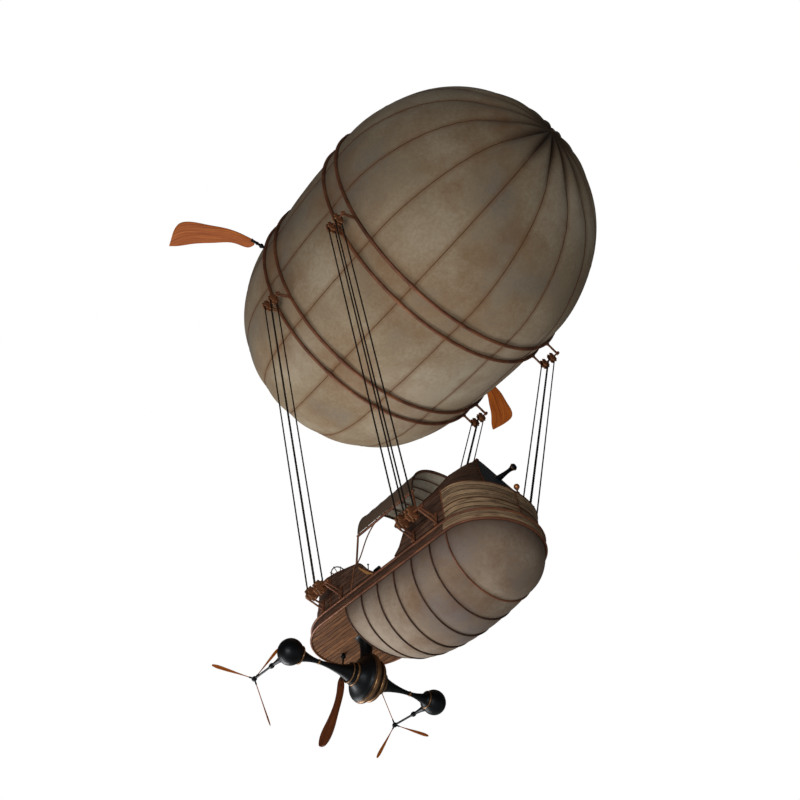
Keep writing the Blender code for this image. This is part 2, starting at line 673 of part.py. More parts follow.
def side_wall(name, side, top):
    """A bulwark along the straight side with its own top line."""
    outer, inner = [], []
    for r in range(WALL_ROWS):
        for grid, inset in ((outer, 0.0), (inner, WALL)):
            row = []
            for x, high in top:
                z = wall_height(high, r)
                along = 1 + (x - WALL_STERN_START) / (WALL_BOW_START - WALL_STERN_START)
                px, py = wall_point(min(along, 1.99999), z, inset)
                row.append((px, -side * py, z))
            grid.append(row)
    return loft(name, outer, inner, WOOD_DARK)


def end_wall(name, start, stop, top, steps=8):
    """The bulwark round the bow or the stern."""
    outer, inner = [], []
    for r in range(WALL_ROWS):
        z = wall_height(top, r)
        for grid, inset in ((outer, 0.0), (inner, WALL)):
            half = [wall_point(start + (stop - start) * i / steps, z, inset) for i in range(steps + 1)]
            grid.append([(x, y, z) for x, y in half] + [(x, -y, z) for x, y in reversed(half[:-1])])
    return loft(name, outer, inner, WOOD_DARK)


def make_walls():
    """The bulwarks fore and aft, each of two sides and an end."""
    for side in SIDES:
        side_wall(f"wall_aft_{SIDE_NAME[side]}", side, WALL_TOP_AFT)
        side_wall(f"wall_fore_{SIDE_NAME[side]}", side, WALL_TOP_FORE)
    end_wall("wall_stern", 0.9999, 0.0, WALL_TOP_AFT[0][1])
    end_wall("wall_bow", 2.0001, 3.0, WALL_TOP_FORE[-1][1])


def hood_foot(u, inset=0.0):
    """A point on the wall's top, which carries the hood."""
    height = WALL_TOP_FORE[-1][1]
    x, y = wall_point(HOOD_FOOT[0] + u * (HOOD_FOOT[1] - HOOD_FOOT[0]), height, inset)
    return Vector((x, -y, height + GAP))


def hood_point(u, v, inset=0.0):
    """A point on the hood's starboard half: u from the rear edge to the front, v from foot to ridge."""
    rear_edge = [hood_foot(0.0)] + [Vector(p) for p in HOOD_REAR]
    front_edge = [hood_foot(1.0)] + [Vector(p) for p in HOOD_FRONT]
    last = len(rear_edge) - 1
    low = min(int(v * last + 1e-9), last - 1)
    part = v * last - low
    rear = rear_edge[low].lerp(rear_edge[low + 1], part)
    front = front_edge[low].lerp(front_edge[low + 1], part)
    straight = hood_foot(0.0).lerp(hood_foot(1.0), u)
    point = rear.lerp(front, u) + (hood_foot(u) - straight) * (1 - v)
    if v < 1e-6:
        point = hood_foot(u, inset)
        return (point.x, -point.y, point.z)
    y = max(0.0, point.y - inset)
    return (point.x, -y, point.z - (inset if point.y < 1e-6 else 0.0))


def make_panel():
    """The slate panel: a fan of faces from the hood's front edge down to the stem's head."""
    front = [hood_foot(1.0)] + [Vector(p) for p in HOOD_FRONT]
    ahead = Vector((SEAT, 0, 0))
    rim = [Vector((p.x, -p.y, p.z)) + ahead for p in front] + [p + ahead for p in reversed(front[:-1])]
    rim.append(Vector((STEM_HEAD[0], 0.0, STEM_HEAD[1])))
    work = bmesh.new()
    near = [work.verts.new(p) for p in rim]
    far = [work.verts.new(p + Vector((PANEL, 0, 0))) for p in rim]
    for i in range(len(rim) - 2):
        work.faces.new((far[i], far[i + 1], far[-1]))
        work.faces.new((near[i + 1], near[i], near[-1]))
    for i in range(len(rim)):
        j = (i + 1) % len(rim)
        work.faces.new((near[i], near[j], far[j], far[i]))
    bmesh.ops.recalc_face_normals(work, faces=work.faces)
    mesh = bpy.data.meshes.new("prow_panel")
    work.to_mesh(mesh)
    work.free()
    panel = node("prow_panel", mesh, SLATE)
    bore = cylinder("bore", (2.5, 0, BARREL_Z), (3.6, 0, BARREL_Z), BARREL_RADIUS + SEAT, SLATE,
                    BARREL_STEPS)
    combined(panel, [bore], "DIFFERENCE")


def make_hood():
    """The hood from its starboard foot over the ridge to port, and the panel that closes its front."""
    steps_u, steps_v = HOOD_STEPS
    outer, inner = [], []
    for grid, inset in ((outer, 0.0), (inner, WALL)):
        half = [[hood_point(i / steps_u, j / steps_v, inset) for i in range(steps_u + 1)]
                for j in range(steps_v + 1)]
        grid += half + [[(x, -y, z) for x, y, z in row] for row in reversed(half[:-1])]
    loft("hood", outer, inner, WOOD_DARK)
    make_panel()


def canopy_arch(inset=0.0, steps=14):
    """The canopy's section from the starboard eave over the crown to port, as (y, z)."""
    half, rise = CANOPY_HALF - inset, CANOPY_CROWN - CANOPY_EAVE - inset
    points = []
    for i in range(steps + 1):
        angle = math.pi * i / steps
        c, s = math.cos(angle), math.sin(angle)
        y = -half * math.copysign(abs(c) ** (2 / CANOPY_POWER), c)
        points.append((y, CANOPY_EAVE + rise * abs(s) ** (2 / CANOPY_POWER)))
    return points


def canopy_post(side, edge, eave, head_x, knee_x, foot_x):
    """A post from its shoe on the deck up inside the wall and out to the eave, as loose pieces."""
    foot = (foot_x, side * POST_FOOT_Y)
    shoe = cylinder("shoe", (*foot, DECK_TOP + GAP), (*foot, DECK_TOP + SHOE_HEIGHT), SHOE_RADIUS, COPPER, BAR)
    route = [(*foot, DECK_TOP + POST_SUNK), (knee_x, side * POST_KNEE[0], POST_KNEE[1]),
             (head_x, side * edge, eave)]
    return [shoe, tube("post", route, POST_RADIUS, COPPER)]


def make_canopy():
    """The canvas roof, the hoops under it, and the frame of eaves, posts and braces."""
    sheet = [[(x, y, z) for y, z in canopy_arch()] for x in (CANOPY_AFT, CANOPY_FORE)]
    lining = [[(x, y, z) for y, z in canopy_arch(CANVAS)] for x in (CANOPY_AFT, CANOPY_FORE)]
    loft("canopy", sheet, lining, CANVAS_MATERIAL)
    reach = CANVAS + HOOP_BAR * HEX_FLAT + SEAT
    edge = CANOPY_HALF - reach
    eave = CANOPY_EAVE - CANOPY_TUBE - SEAT
    step = (CANOPY_FORE - CANOPY_AFT - 2 * CANOPY_END) / (CANOPY_HOOPS - 1)
    xs = [CANOPY_AFT + CANOPY_END + step * i for i in range(CANOPY_HOOPS)]
    inner = [canopy_hoop(x, reach, CANOPY_EAVE + GAP) for x in xs[1:-1]]
    crown = CANOPY_CROWN - reach
    ridge = cylinder("canopy_hoops", (xs[1], 0, crown), (xs[-2], 0, crown), CROWN_BAR, COPPER, BAR)
    combined(ridge, inner, "UNION")
    pieces = [canopy_hoop(x, reach, eave) for x in (xs[0], xs[-1])]
    aft, fore = CANOPY_AFT - EAVE_END, CANOPY_FORE + EAVE_END
    pieces.append(cylinder("eave", (aft, edge, eave), (fore, edge, eave), CANOPY_TUBE, COPPER, BAR))
    base = cylinder("canopy_frame", (aft, -edge, eave), (fore, -edge, eave), CANOPY_TUBE, COPPER, BAR)
    for side in SIDES:
        for post in POSTS:
            pieces += canopy_post(side, edge, eave, *post)
        route = [(x, side * (edge + share * (POST_KNEE[0] - edge)), z) for x, share, z in BRACE]
        pieces.append(tube("brace", route, BRACE_RADIUS, COPPER))
    combined(base, pieces, "UNION")


def canopy_hoop(x, reach, foot):
    """One arch under the sheet, from its foot height up over the crown and down."""
    arch = [(x, y, z) for y, z in canopy_arch(reach)]
    ends = [(x, side * (CANOPY_HALF - reach), foot) for side in SIDES]
    return tube("hoop", [ends[0]] + arch[1:-1] + [ends[1]], HOOP_BAR, COPPER)


def engine_profile(extra=0.0):
    """The engine's turned shape as (radius, y) from port to starboard."""
    ball = [math.radians(a) for a in BALL_ANGLES]
    port = [(BALL_RADIUS * math.sin(a), BALL_Y + BALL_RADIUS * math.cos(a)) for a in ball]
    port += [(radius, y) for y, radius in ARM_PROFILE]
    drum = [(radius, y) for y, radius in DRUM_PROFILE]
    starboard = [(radius, -y) for radius, y in reversed(port)]
    return [(radius + (extra if radius else 0.0), y) for radius, y in port + drum + starboard]


def make_engine():
    """The drum and its two arms, the cones behind the balls, the pylon over it and the propellers."""
    place = Matrix.Translation((ENGINE_X, 0, ENGINE_Z)) @ along_y()
    cones, sockets = [], []
    for side in SIDES:
        ball = Vector((ENGINE_X, side * BALL_Y, ENGINE_Z))
        cones.append(turned("cone", CONE, STEEL, Matrix.Translation(ball) @ along_x().inverted(), DISC))
        near = ball - Vector((SOCKET_START, 0, 0))
        sockets.append(cylinder("socket", near, near - Vector((SOCKET_REACH, 0, 0)), bore_radius(SHAFT_RADIUS),
                                STEEL, BORE_SIDES))
    engine = combined(turned("engine", engine_profile(), STEEL, place, ENGINE_STEPS), cones, "UNION")
    combined(engine, sockets, "DIFFERENCE")
    profile = [(radius, -down) for radius, down in PYLON]
    pylon = turned("pylon", profile, STEEL, Matrix.Translation((ENGINE_X, 0, HULL_BOTTOM - GAP)), 16)
    cutter = turned("drum_cutter", engine_profile(SEAT), STEEL, place, ENGINE_STEPS)
    combined(pylon, [cutter], "DIFFERENCE")
    for side in SIDES:
        make_propeller(side)


def blade():
    """A slim paddle along +Z from a wire root to a rounded tip, thin at its edges."""
    outline = [(share * PROP_RADIUS, wide * BLADE_WIDTH / 2) for share, wide in BLADE_SHAPE]
    outline[0] = (PROP_ROOT, outline[0][1])
    faces = []
    for thick in (-BLADE_THICKNESS / 2, BLADE_THICKNESS / 2):
        edge = thick * BLADE_EDGE
        faces.append([[(-half, edge, z), (0.0, thick, z), (half, edge, z)] for z, half in outline])
    return loft("blade", *faces, WOOD_ORANGE)


def make_propeller(side):
    """Three pitched blades on a hub and the shaft that runs forward into the cone."""
    centre = Vector((PROP_X, side * BALL_Y, ENGINE_Z))
    pieces = []
    for i in range(BLADES):
        piece = blade()
        # +Z of the blade turns to the blade's direction in the plane across X
        turn = Matrix.Rotation(math.radians(BLADE_START[side] + i * 360 / BLADES - 90), 4, "X")
        pitch = Matrix.Rotation(math.radians(90 - BLADE_PITCH * side), 4, "Z")
        piece.data.transform(Matrix.Translation(centre) @ turn @ pitch)
        pieces.append(piece)
    pieces.append(turned("hub", HUB, STEEL, Matrix.Translation(centre) @ along_x(), 10))
    start = (ENGINE_X - SHAFT_START, centre.y, centre.z)
    shaft = cylinder(f"propeller_{SIDE_NAME[side]}", start, centre, SHAFT_RADIUS, STEEL)
    combined(shaft, pieces, "UNION")


def make_rudder():
    """The stock under the stern and the board that turns on it."""
    top = HULL_BOTTOM - GAP
    stock = [(radius, top - down) for radius, down in STOCK_COLLAR] + [(STOCK_RADIUS, STOCK_END), (0.0, STOCK_END)]
    turned("rudder_post", stock, STEEL, Matrix.Translation((RUDDER_X, 0, 0)), 16)
    slab = plate("rudder", RUDDER_OUTLINE, -BOARD / 2, BOARD / 2, WOOD_RED)
    slab.data.transform(Matrix.Rotation(math.radians(90), 4, "X"))
    high, low = [(RUDDER_X, 0, z) for z in CLAMP_ENDS]
    slab = combined(slab, [cylinder("clamp", high, low, CLAMP_RADIUS, STEEL, DISC)], "UNION")
    above, end = (RUDDER_X, 0, CLAMP_ENDS[0] + 0.1), (RUDDER_X, 0, STOCK_END - END_ROOM)
    combined(slab, [cylinder("socket", above, end, bore_radius(STOCK_RADIUS), STEEL, BORE_SIDES)], "DIFFERENCE")


def make_fins():
    """The two side fins, each on a link out from the rearmost hoop."""
    for side in SIDES:
        def out(y):
            return (FIN_X, side * y, 0.0)

        link = cylinder(f"fin_link_{SIDE_NAME[side]}", out(ENVELOPE_RADIUS + HOOP_TUBE + SEAT), out(LINK_END),
                        LINK_RADIUS, STEEL)
        half_circle = [math.radians(a) for a in range(0, 181, 30)]
        ball = turned("ball", [(LINK_BALL * math.sin(a), LINK_BALL * math.cos(a)) for a in half_circle], STEEL,
                      Matrix.Translation(out(LINK_BALL_Y)), DISC)
        combined(link, [ball], "UNION")
        outline = [(x, side * y) for x, y in FIN_OUTLINE]
        slab = plate(f"fin_{SIDE_NAME[side]}", outline, -BOARD / 2, BOARD / 2, WOOD_ORANGE)
        near, far = SLEEVE_ENDS
        slab = combined(slab, [cylinder("sleeve", out(near), out(far), SLEEVE_RADIUS, STEEL, DISC)], "UNION")
        bore = cylinder("bore", out(near - 0.1), out(LINK_END + END_ROOM / 10), bore_radius(LINK_RADIUS), STEEL,
                        BORE_SIDES)
        combined(slab, [bore], "DIFFERENCE")


def make_fittings():
    """The gun barrel in the panel and the lamp on the bow wall."""
    turned("barrel", BARREL, STEEL, Matrix.Translation((0, 0, BARREL_Z)) @ along_x(), BARREL_STEPS)
    place = Matrix.Translation((*LAMP_PLACE, WALL_TOP_FORE[-1][1] + GAP))
    turned("lamp", LAMP, COPPER, place, DISC)


make_envelope()
make_suspension()
make_hull()
make_hood()
make_canopy()
make_engine()
make_rudder()
make_fins()
make_fittings()
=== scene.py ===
"""Looks of the airship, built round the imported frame.

Metres. +X is forward, +Y is to port and +Z is up, and the origin is the envelope's centre.
"""

import logging
import math
from dataclasses import dataclass
from enum import Enum
from typing import Any, Callable, Sequence

import bmesh
import bpy
import numpy as np
from mathutils import Matrix, Vector

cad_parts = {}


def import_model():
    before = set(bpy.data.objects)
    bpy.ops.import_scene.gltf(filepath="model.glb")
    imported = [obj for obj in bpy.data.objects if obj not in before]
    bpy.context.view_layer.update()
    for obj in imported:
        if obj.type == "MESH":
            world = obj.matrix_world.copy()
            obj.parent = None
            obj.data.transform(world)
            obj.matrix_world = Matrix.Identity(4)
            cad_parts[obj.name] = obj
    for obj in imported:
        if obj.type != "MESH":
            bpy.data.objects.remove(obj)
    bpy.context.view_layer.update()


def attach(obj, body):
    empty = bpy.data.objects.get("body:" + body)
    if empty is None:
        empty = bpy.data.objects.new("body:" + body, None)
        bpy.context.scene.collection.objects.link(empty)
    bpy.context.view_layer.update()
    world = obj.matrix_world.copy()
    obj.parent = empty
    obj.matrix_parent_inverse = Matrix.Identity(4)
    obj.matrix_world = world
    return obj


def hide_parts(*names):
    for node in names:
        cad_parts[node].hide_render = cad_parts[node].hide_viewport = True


Array = np.ndarray
Table = tuple[tuple[float, ...], ...]
LOG = logging.getLogger("airship")
STARBOARD, PORT = -1, 1
SIDES = (STARBOARD, PORT)
SIDE_NAME = {STARBOARD: "starboard", PORT: "port"}
MAIN_BODY = "airship"
SEAT = 0.0006
AHEAD = (1.0, 0.0, 0.0)


class Slot(Enum):
    """Material slots; each finish carries one."""

    CANVAS = "canvas"
    COPPER = "copper"
    ROPE = "rope"
    DARK_PLANKS = "dark_planks"
    DECK_PLANKS = "deck_planks"
    ORANGE_WOOD = "orange_wood"
    RED_WOOD = "red_wood"
    STEEL = "steel"
    SLATE = "slate"


# Colours and nodes


def linear(code: str) -> tuple[float, float, float, float]:
    """Turns an sRGB hex code to a linear colour.

    Args:
        code: Six hex digits after a hash.

    Returns:
        Red, green, blue and a full alpha.
    """
    shares = [int(code[i : i + 2], 16) / 255 for i in (1, 3, 5)]
    red, green, blue = [s / 12.92 if s <= 0.04045 else ((s + 0.055) / 1.055) ** 2.4 for s in shares]
    return red, green, blue, 1.0


def wire(node: bpy.types.Node, inputs: dict[Any, Any]) -> None:
    """Sets a node's inputs.

    Args:
        node: The node.
        inputs: By input name or number, a value, a socket to link, or a node, for its first output.
    """
    for key, value in inputs.items():
        if isinstance(value, bpy.types.Node):
            value = value.outputs[0]
        if isinstance(value, bpy.types.NodeSocket):
            node.id_data.links.new(value, node.inputs[key])
        else:
            node.inputs[key].default_value = value


def add(tree: bpy.types.NodeTree, kind: str, inputs: dict[Any, Any] | None = None,
        stops: Sequence[tuple[float, str]] = (), **settings: Any) -> bpy.types.Node:
    """Adds one node with its settings, values and links.

    Args:
        tree: The material's or world's tree.
        kind: The node's type name.
        inputs: What wire sets.
        stops: Places and hex colours of a colour ramp, in rising order.
        settings: The node's own properties.

    Returns:
        The new node.
    """
    node = tree.nodes.new(kind)
    for key, value in settings.items():
        setattr(node, key, value)
    wire(node, inputs or {})
    if stops:
        elements = node.color_ramp.elements
        elements[0].position, elements[1].position = stops[0][0], stops[-1][0]
        for place, _ in stops[1:-1]:
            elements.new(place)
        for element, (_, code) in zip(elements, stops):
            element.color = linear(code)
    return node


@dataclass(frozen=True)
class Finish:
    """A material that is made once and then shared by the pieces that wear it."""

    name: str
    slot: Slot

    def paint(self, tree: bpy.types.NodeTree, shader: bpy.types.Node) -> None:
        """Adds the nodes; each kind of finish has its own."""
        raise NotImplementedError

    def material(self) -> bpy.types.Material:
        """Finds the material, or makes it at the first call.

        Returns:
            The material.
        """
        found = bpy.data.materials.get(self.name)
        if found:
            return found
        made = bpy.data.materials.new(self.name)
        made.use_nodes = True
        self.paint(made.node_tree, made.node_tree.nodes["Principled BSDF"])
        return made


@dataclass(frozen=True)
class Canvas(Finish):
    """Cotton canvas, woven plain, doped or oiled, and weathered: matt, in soft clouds, browner by seams.

    The real thread is 1 mm apart and would not show, so the weave is drawn 9 mm apart.

    Attributes:
        patch: Size of the broad clouds in metres.
        weave: The drawn thread's spacing.
        soil: How far the soil reaches from a seam.
        band: Share of stain at the hoops.
        rail_shade: Share of painted shade under the rail, which darkens the bag towards its top.
        pleat_shade: Share of painted shade in the folds at a pole.
    """

    light: str = "#b3a48d"
    middle: str = "#99866c"
    stain: str = "#7d5430"
    speck: str = "#3a2a1b"
    grey: str = "#857a6c"
    patch: float = 3.2
    weave: float = 0.009
    soil: float = 0.16
    band: float = 0.0
    # Colour of painted shade on a sheet's outer side, where edge is 1.
    outer: str = "#4b3a2c"
    rail_shade: float = 0.0
    pleat_shade: float = 0.0
    # Colour of painted shade in the folds at a pole.
    fold_shade: str = "#241b14"
    # Colour of painted shade under the rail.
    rail_shade_colour: str = "#4a3830"
    hoops_middle: float = 1.86
    rail_shade_heights: tuple[float, float] = (-14.25, -13.46)

    def paint(self, tree: bpy.types.NodeTree, shader: bpy.types.Node) -> None:
        """Clouds, then stains, bands by hoops, specks, soil, and painted shade in the folds, under the rail
        and on the outer side.

        Args:
            tree: The material's tree.
            shader: Its shader node.
        """
        place = add(tree, "ShaderNodeTexCoord").outputs["Object"]
        seam = add(tree, "ShaderNodeAttribute", attribute_name="grain").outputs["Vector"]
        outside = add(tree, "ShaderNodeAttribute", attribute_name="edge").outputs["Fac"]
        # Sizes: clouds of the patch, creases of 110 mm, stains of half a patch, specks of 38 mm, and threads.
        broad, close, rust, dots, thread = (
            add(tree, "ShaderNodeTexNoise", {"Vector": place, "Scale": scale, "Detail": detail,
                                             "Roughness": rough})
            for scale, detail, rough in ((1.0 / self.patch, 2.0, 0.5), (9.0, 6.0, 0.72),
                                         (2.2 / self.patch, 7.0, 0.62), (26.0, 2.0, 0.5),
                                         (1.0 / self.weave, 1.0, 0.5)))
        mixed = add(tree, "ShaderNodeMix", {0: 0.28, 2: broad, 3: close})
        base = add(tree, "ShaderNodeValToRGB", {"Fac": mixed},
                   ((0.34, self.grey), (0.47, self.middle), (0.62, self.light)))
        by_seam = add(tree, "ShaderNodeSeparateXYZ", {0: seam}).outputs
        spot = add(tree, "ShaderNodeSeparateXYZ", {0: place}).outputs
        station = add(tree, "ShaderNodeMath", {0: spot["X"]}, operation="ABSOLUTE")
        off = add(tree, "ShaderNodeMath", {0: station, 1: self.hoops_middle}, operation="SUBTRACT")
        away = add(tree, "ShaderNodeMath", {0: off}, operation="ABSOLUTE")
        rusty, by_hoop, dotty, dirt, by_pole, in_fold, by_rail = (
            add(tree, "ShaderNodeMapRange", {0: value, 1: low, 2: high, 3: first, 4: last})
            for value, low, high, first, last in (
                (rust, 0.46, 0.76, 0.0, 0.65), (away, 0.1, 1.5, self.band, 0.0), (dots, 0.68, 0.78, 0.0, 0.6),
                (by_seam["Y"], 0.0, self.soil, 0.55, 0.0), (by_seam["Z"], 0.6, 2.6, self.pleat_shade, 0.0),
                (by_seam["Y"], 0.0, 0.30, 1.0, 0.35), (spot["Z"], *self.rail_shade_heights, 0.0, self.rail_shade)))
        patchy = add(tree, "ShaderNodeMath", {0: by_hoop, 1: rust}, operation="MULTIPLY")
        # Painted shade in the folds near the poles, strongest by the seams.
        fold_shade_share = add(tree, "ShaderNodeMath", {0: by_pole, 1: in_fold}, operation="MULTIPLY")
        # Painted shade under the rail: the bag darkens towards its top, up to the rail.
        rail_shade_share = add(tree, "ShaderNodeMath", {0: by_rail, 1: 1.5}, operation="POWER")
        colour = base.outputs[0]
        # The last three layers are painted shade: in the folds, under the rail and on a sheet's outer side.
        for share, code in ((rusty, self.stain), (patchy, self.stain), (dotty, self.speck),
                            (dirt, self.stain), (fold_shade_share, self.fold_shade), (rail_shade_share, self.rail_shade_colour),
                            (outside, self.outer)):
            layer = add(tree, "ShaderNodeMix", {0: share, 6: colour, 7: linear(code)}, data_type="RGBA")
            colour = layer.outputs[2]
        weave = add(tree, "ShaderNodeBump", {"Height": thread, "Strength": 0.3, "Distance": 0.003})
        creases = add(tree, "ShaderNodeBump", {"Height": close, "Strength": 0.3, "Distance": 0.02,
                                               "Normal": weave})
        wire(shader, {"Base Color": colour, "Normal": creases, "Roughness": 0.88, "Specular IOR Level": 0.2,
                      "Sheen Weight": 0.05})


@dataclass(frozen=True)
class Timber(Finish):
    """Sawn boards, oiled or varnished: long streaks of grain, each board of its own tone, some knots.

    Attributes:
        grain: Width of a streak in metres.
        run: Its length.
        spread: How far the boards differ in tone.
        knots: Share of dark in a knot.
        coat: Weight of the varnish.
        caulk: Colour of the tarred edges.
    """

    dark: str = "#3b2a1f"
    middle: str = "#5a4433"
    light: str = "#7b6248"
    grain: float = 0.012
    run: float = 0.7
    spread: float = 0.30
    knots: float = 0.5
    roughness: float = 0.62
    coat: float = 0.0
    caulk: str = "#140d09"

    def paint(self, tree: bpy.types.NodeTree, shader: bpy.types.Node) -> None:
        """Noise drawn out along the grain, a tone for each board, knots, tarred edges, and pores in the bump.

        Args:
            tree: The material's tree.
            shader: Its shader node.
        """
        along = add(tree, "ShaderNodeAttribute", attribute_name="grain").outputs["Vector"]
        rim = add(tree, "ShaderNodeAttribute", attribute_name="edge").outputs["Fac"]
        # Streaks of the grain's own size, clouds 42 mm wide, and knots some 0.6 m apart along a board.
        fine, wide, spots = (
            add(tree, "ShaderNodeMapping", {"Vector": along, "Scale": scale}, vector_type="POINT")
            for scale in ((1 / self.run, 1 / self.grain, 13.7), (1.8 / self.run, 24.0, 5.3), (1.7, 9.0, 7.1)))
        streak = add(tree, "ShaderNodeTexNoise", {"Vector": fine, "Scale": 1.0, "Detail": 5.0,
                                                  "Roughness": 0.6, "Distortion": 0.5})
        cloud = add(tree, "ShaderNodeTexNoise", {"Vector": wide, "Scale": 1.0, "Detail": 4.0,
                                                 "Roughness": 0.6})
        both = add(tree, "ShaderNodeMath", {0: streak, 1: cloud}, operation="ADD")
        halved = add(tree, "ShaderNodeMath", {0: both, 1: 0.5}, operation="MULTIPLY")
        base = add(tree, "ShaderNodeValToRGB", {"Fac": halved},
                   ((0.36, self.dark), (0.50, self.middle), (0.64, self.light)))
        number = add(tree, "ShaderNodeSeparateXYZ", {0: along}).outputs["Z"]
        draw = add(tree, "ShaderNodeTexWhiteNoise", {"W": number}, noise_dimensions="1D")
        cell = add(tree, "ShaderNodeTexVoronoi", {"Vector": spots, "Scale": 1.0})
        tone, knot, gloss = (
            add(tree, "ShaderNodeMapRange", {0: value, 1: low, 2: high, 3: first, 4: last})
            for value, low, high, first, last in (
                (draw, 0.0, 1.0, 1.0 - self.spread, 1.0 + 0.4 * self.spread),
                (cell, 0.10, 0.26, self.knots, 0.0),
                (halved, 0.3, 0.7, self.roughness + 0.1, self.roughness - 0.08)))
        colour = add(tree, "ShaderNodeVectorMath", {0: base, "Scale": tone}, operation="SCALE").outputs[0]
        for share, code in ((knot, self.dark), (rim, self.caulk)):
            layer = add(tree, "ShaderNodeMix", {0: share, 6: colour, 7: linear(code)}, data_type="RGBA")
            colour = layer.outputs[2]
        pores = add(tree, "ShaderNodeBump", {"Height": streak, "Strength": 0.4, "Distance": 0.004})
        wire(shader, {"Base Color": colour, "Normal": pores, "Roughness": gloss, "Coat Weight": self.coat,
                      "Coat Roughness": 0.25, "Specular IOR Level": 0.12})


@dataclass(frozen=True)
class Metal(Finish):
    """Cast or drawn metal left to weather: tarnish in clouds, brighter where it is rubbed.

    Attributes:
        cloud: Size of the clouds in metres.
        pits: Spacing of the pits.
    """

    dark: str = "#4a2a1d"
    base: str = "#8c5740"
    bright: str = "#b37a59"
    metallic: float = 0.6
    roughness: float = 0.5
    cloud: float = 0.25
    pits: float = 0.012

    def paint(self, tree: bpy.types.NodeTree, shader: bpy.types.Node) -> None:
        """Clouds of tarnish in the colour and the roughness, and pits in the bump.

        Args:
            tree: The material's tree.
            shader: Its shader node.
        """
        place = add(tree, "ShaderNodeTexCoord").outputs["Object"]
        tarnish, grit = (
            add(tree, "ShaderNodeTexNoise", {"Vector": place, "Scale": 1 / size, "Detail": detail,
                                             "Roughness": rough})
            for size, detail, rough in ((self.cloud, 7.0, 0.7), (self.pits, 3.0, 0.6)))
        tint = add(tree, "ShaderNodeValToRGB", {"Fac": tarnish},
                   ((0.32, self.dark), (0.50, self.base), (0.70, self.bright)))
        dull = add(tree, "ShaderNodeMapRange", {0: tarnish, 1: 0.3, 2: 0.7, 3: self.roughness + 0.15,
                                                4: self.roughness - 0.08})
        pitted = add(tree, "ShaderNodeBump", {"Height": grit, "Strength": 0.25, "Distance": 0.002})
        wire(shader, {"Base Color": tint, "Roughness": dull, "Normal": pitted, "Metallic": self.metallic})


@dataclass(frozen=True)
class Hemp(Finish):
    """Hemp rope soaked in tar: nearly black and matt, with browner fibres."""

    dark: str = "#0d0b09"
    light: str = "#2b221a"

    def paint(self, tree: bpy.types.NodeTree, shader: bpy.types.Node) -> None:
        """Fibres as a noise of 17 mm, coarser than real ones, in the colour and the bump.

        Args:
            tree: The material's tree.
            shader: Its shader node.
        """
        place = add(tree, "ShaderNodeTexCoord").outputs["Object"]
        fibre = add(tree, "ShaderNodeTexNoise", {"Vector": place, "Scale": 60.0, "Detail": 4.0})
        tint = add(tree, "ShaderNodeValToRGB", {"Fac": fibre}, ((0.35, self.dark), (0.70, self.light)))
        rough = add(tree, "ShaderNodeBump", {"Height": fibre, "Strength": 0.4, "Distance": 0.003})
        wire(shader, {"Base Color": tint, "Normal": rough, "Roughness": 0.9, "Specular IOR Level": 0.2})


# Doped cotton, blown tight: matt and pale, rusty by the hoops, with painted shade in the folds at the poles.
GASBAG = Canvas("doped_cotton_canvas", Slot.CANVAS, band=0.45, pleat_shade=0.85)
# Oiled canvas over a hold: greyer and browner, with painted shade under the rail that darkens the top of the
# bag.
BELLY_CLOTH = Canvas("oiled_canvas", Slot.CANVAS, "#a99886", "#8f7c69", "#765030", grey="#82756e", patch=1.8,
                     soil=0.05, rail_shade=0.85)
# Canvas with painted light and shade: pale colours inside stand in for light from below, and a dark brown
# outside is painted shade.
AWNING = Canvas("awning_canvas", Slot.CANVAS, "#e6dcc9", "#d6cab3", "#a08560", grey="#b8ad9c", patch=1.5,
                soil=0.03, outer="#5d4837")
# Canvas tape that is handled and tarred: dark brown.
TRIM_CLOTH = Canvas("hem_canvas", Slot.CANVAS, "#5b3d2a", "#4a3021", "#331f14", grey="#3a2c22")
# Drawn copper tube left in the weather: dull red brown, with little shine.
BRONZED = Metal("tarnished_copper_tube", Slot.COPPER, "#54301e", "#7b4a30", "#96613f", 0.3, 0.48, 0.9)
# Spun copper kept clean: the one warm shine at the prow.
LAMP_COPPER = Metal("spun_copper", Slot.COPPER, "#7a3a1c", "#b06232", "#d08a52", 0.6, 0.35)
# Forged iron browned in oil: dark lines over the bag.
RIB_IRON = Metal("browned_iron_rib", Slot.COPPER, "#23140d", "#42281b", "#63402b", 0.3, 0.5)
# Linen cord drawn through wax: brown and matt, no metal at all.
SEAM_CORD = Metal("waxed_seam_cord", Slot.COPPER, "#3a2114", "#573520", "#6e472c", 0.0, 0.75)
# Cast bronze with age on it: brown, half shiny.
BAND_BRONZE = Metal("aged_bronze", Slot.STEEL, "#2e221b", "#54402f", "#7d5f45", 0.6, 0.42)
# Turned bronze rubbed bright: the light lines round the engine and the barrel.
RING_BRONZE = Metal("rubbed_bronze_ring", Slot.STEEL, "#5d4430", "#8a6746", "#b28c63", 0.8, 0.32)
# Cast iron blued by heat: nearly black, with soft lights.
IRON = Metal("blued_cast_iron", Slot.STEEL, "#090a0c", "#111316", "#1f2226", 0.7, 0.38)
# Bored and polished steel: dark, with a sharper light along the barrel.
GUN_STEEL = Metal("gun_steel", Slot.STEEL, "#121214", "#22252b", "#3a3b40", 0.9, 0.32)
# Tarred hemp: black lines against the sky.
ROPE_TAR = Hemp("tarred_hemp", Slot.ROPE)
# Sawn oak, oiled and weathered: dark brown strakes, each of its own tone.
SIDE_PLANKS = Timber("weathered_oak_planks", Slot.DARK_PLANKS, "#32201a", "#563d30", "#795a47", spread=0.35)
# Sawn oak bleached by sun and salt: pale strakes at the bow.
BOW_PLANKS = Timber("bleached_oak_strakes", Slot.DARK_PLANKS, "#5f4a38", "#a08264", "#c2a47f", knots=0.8,
                    spread=0.35)
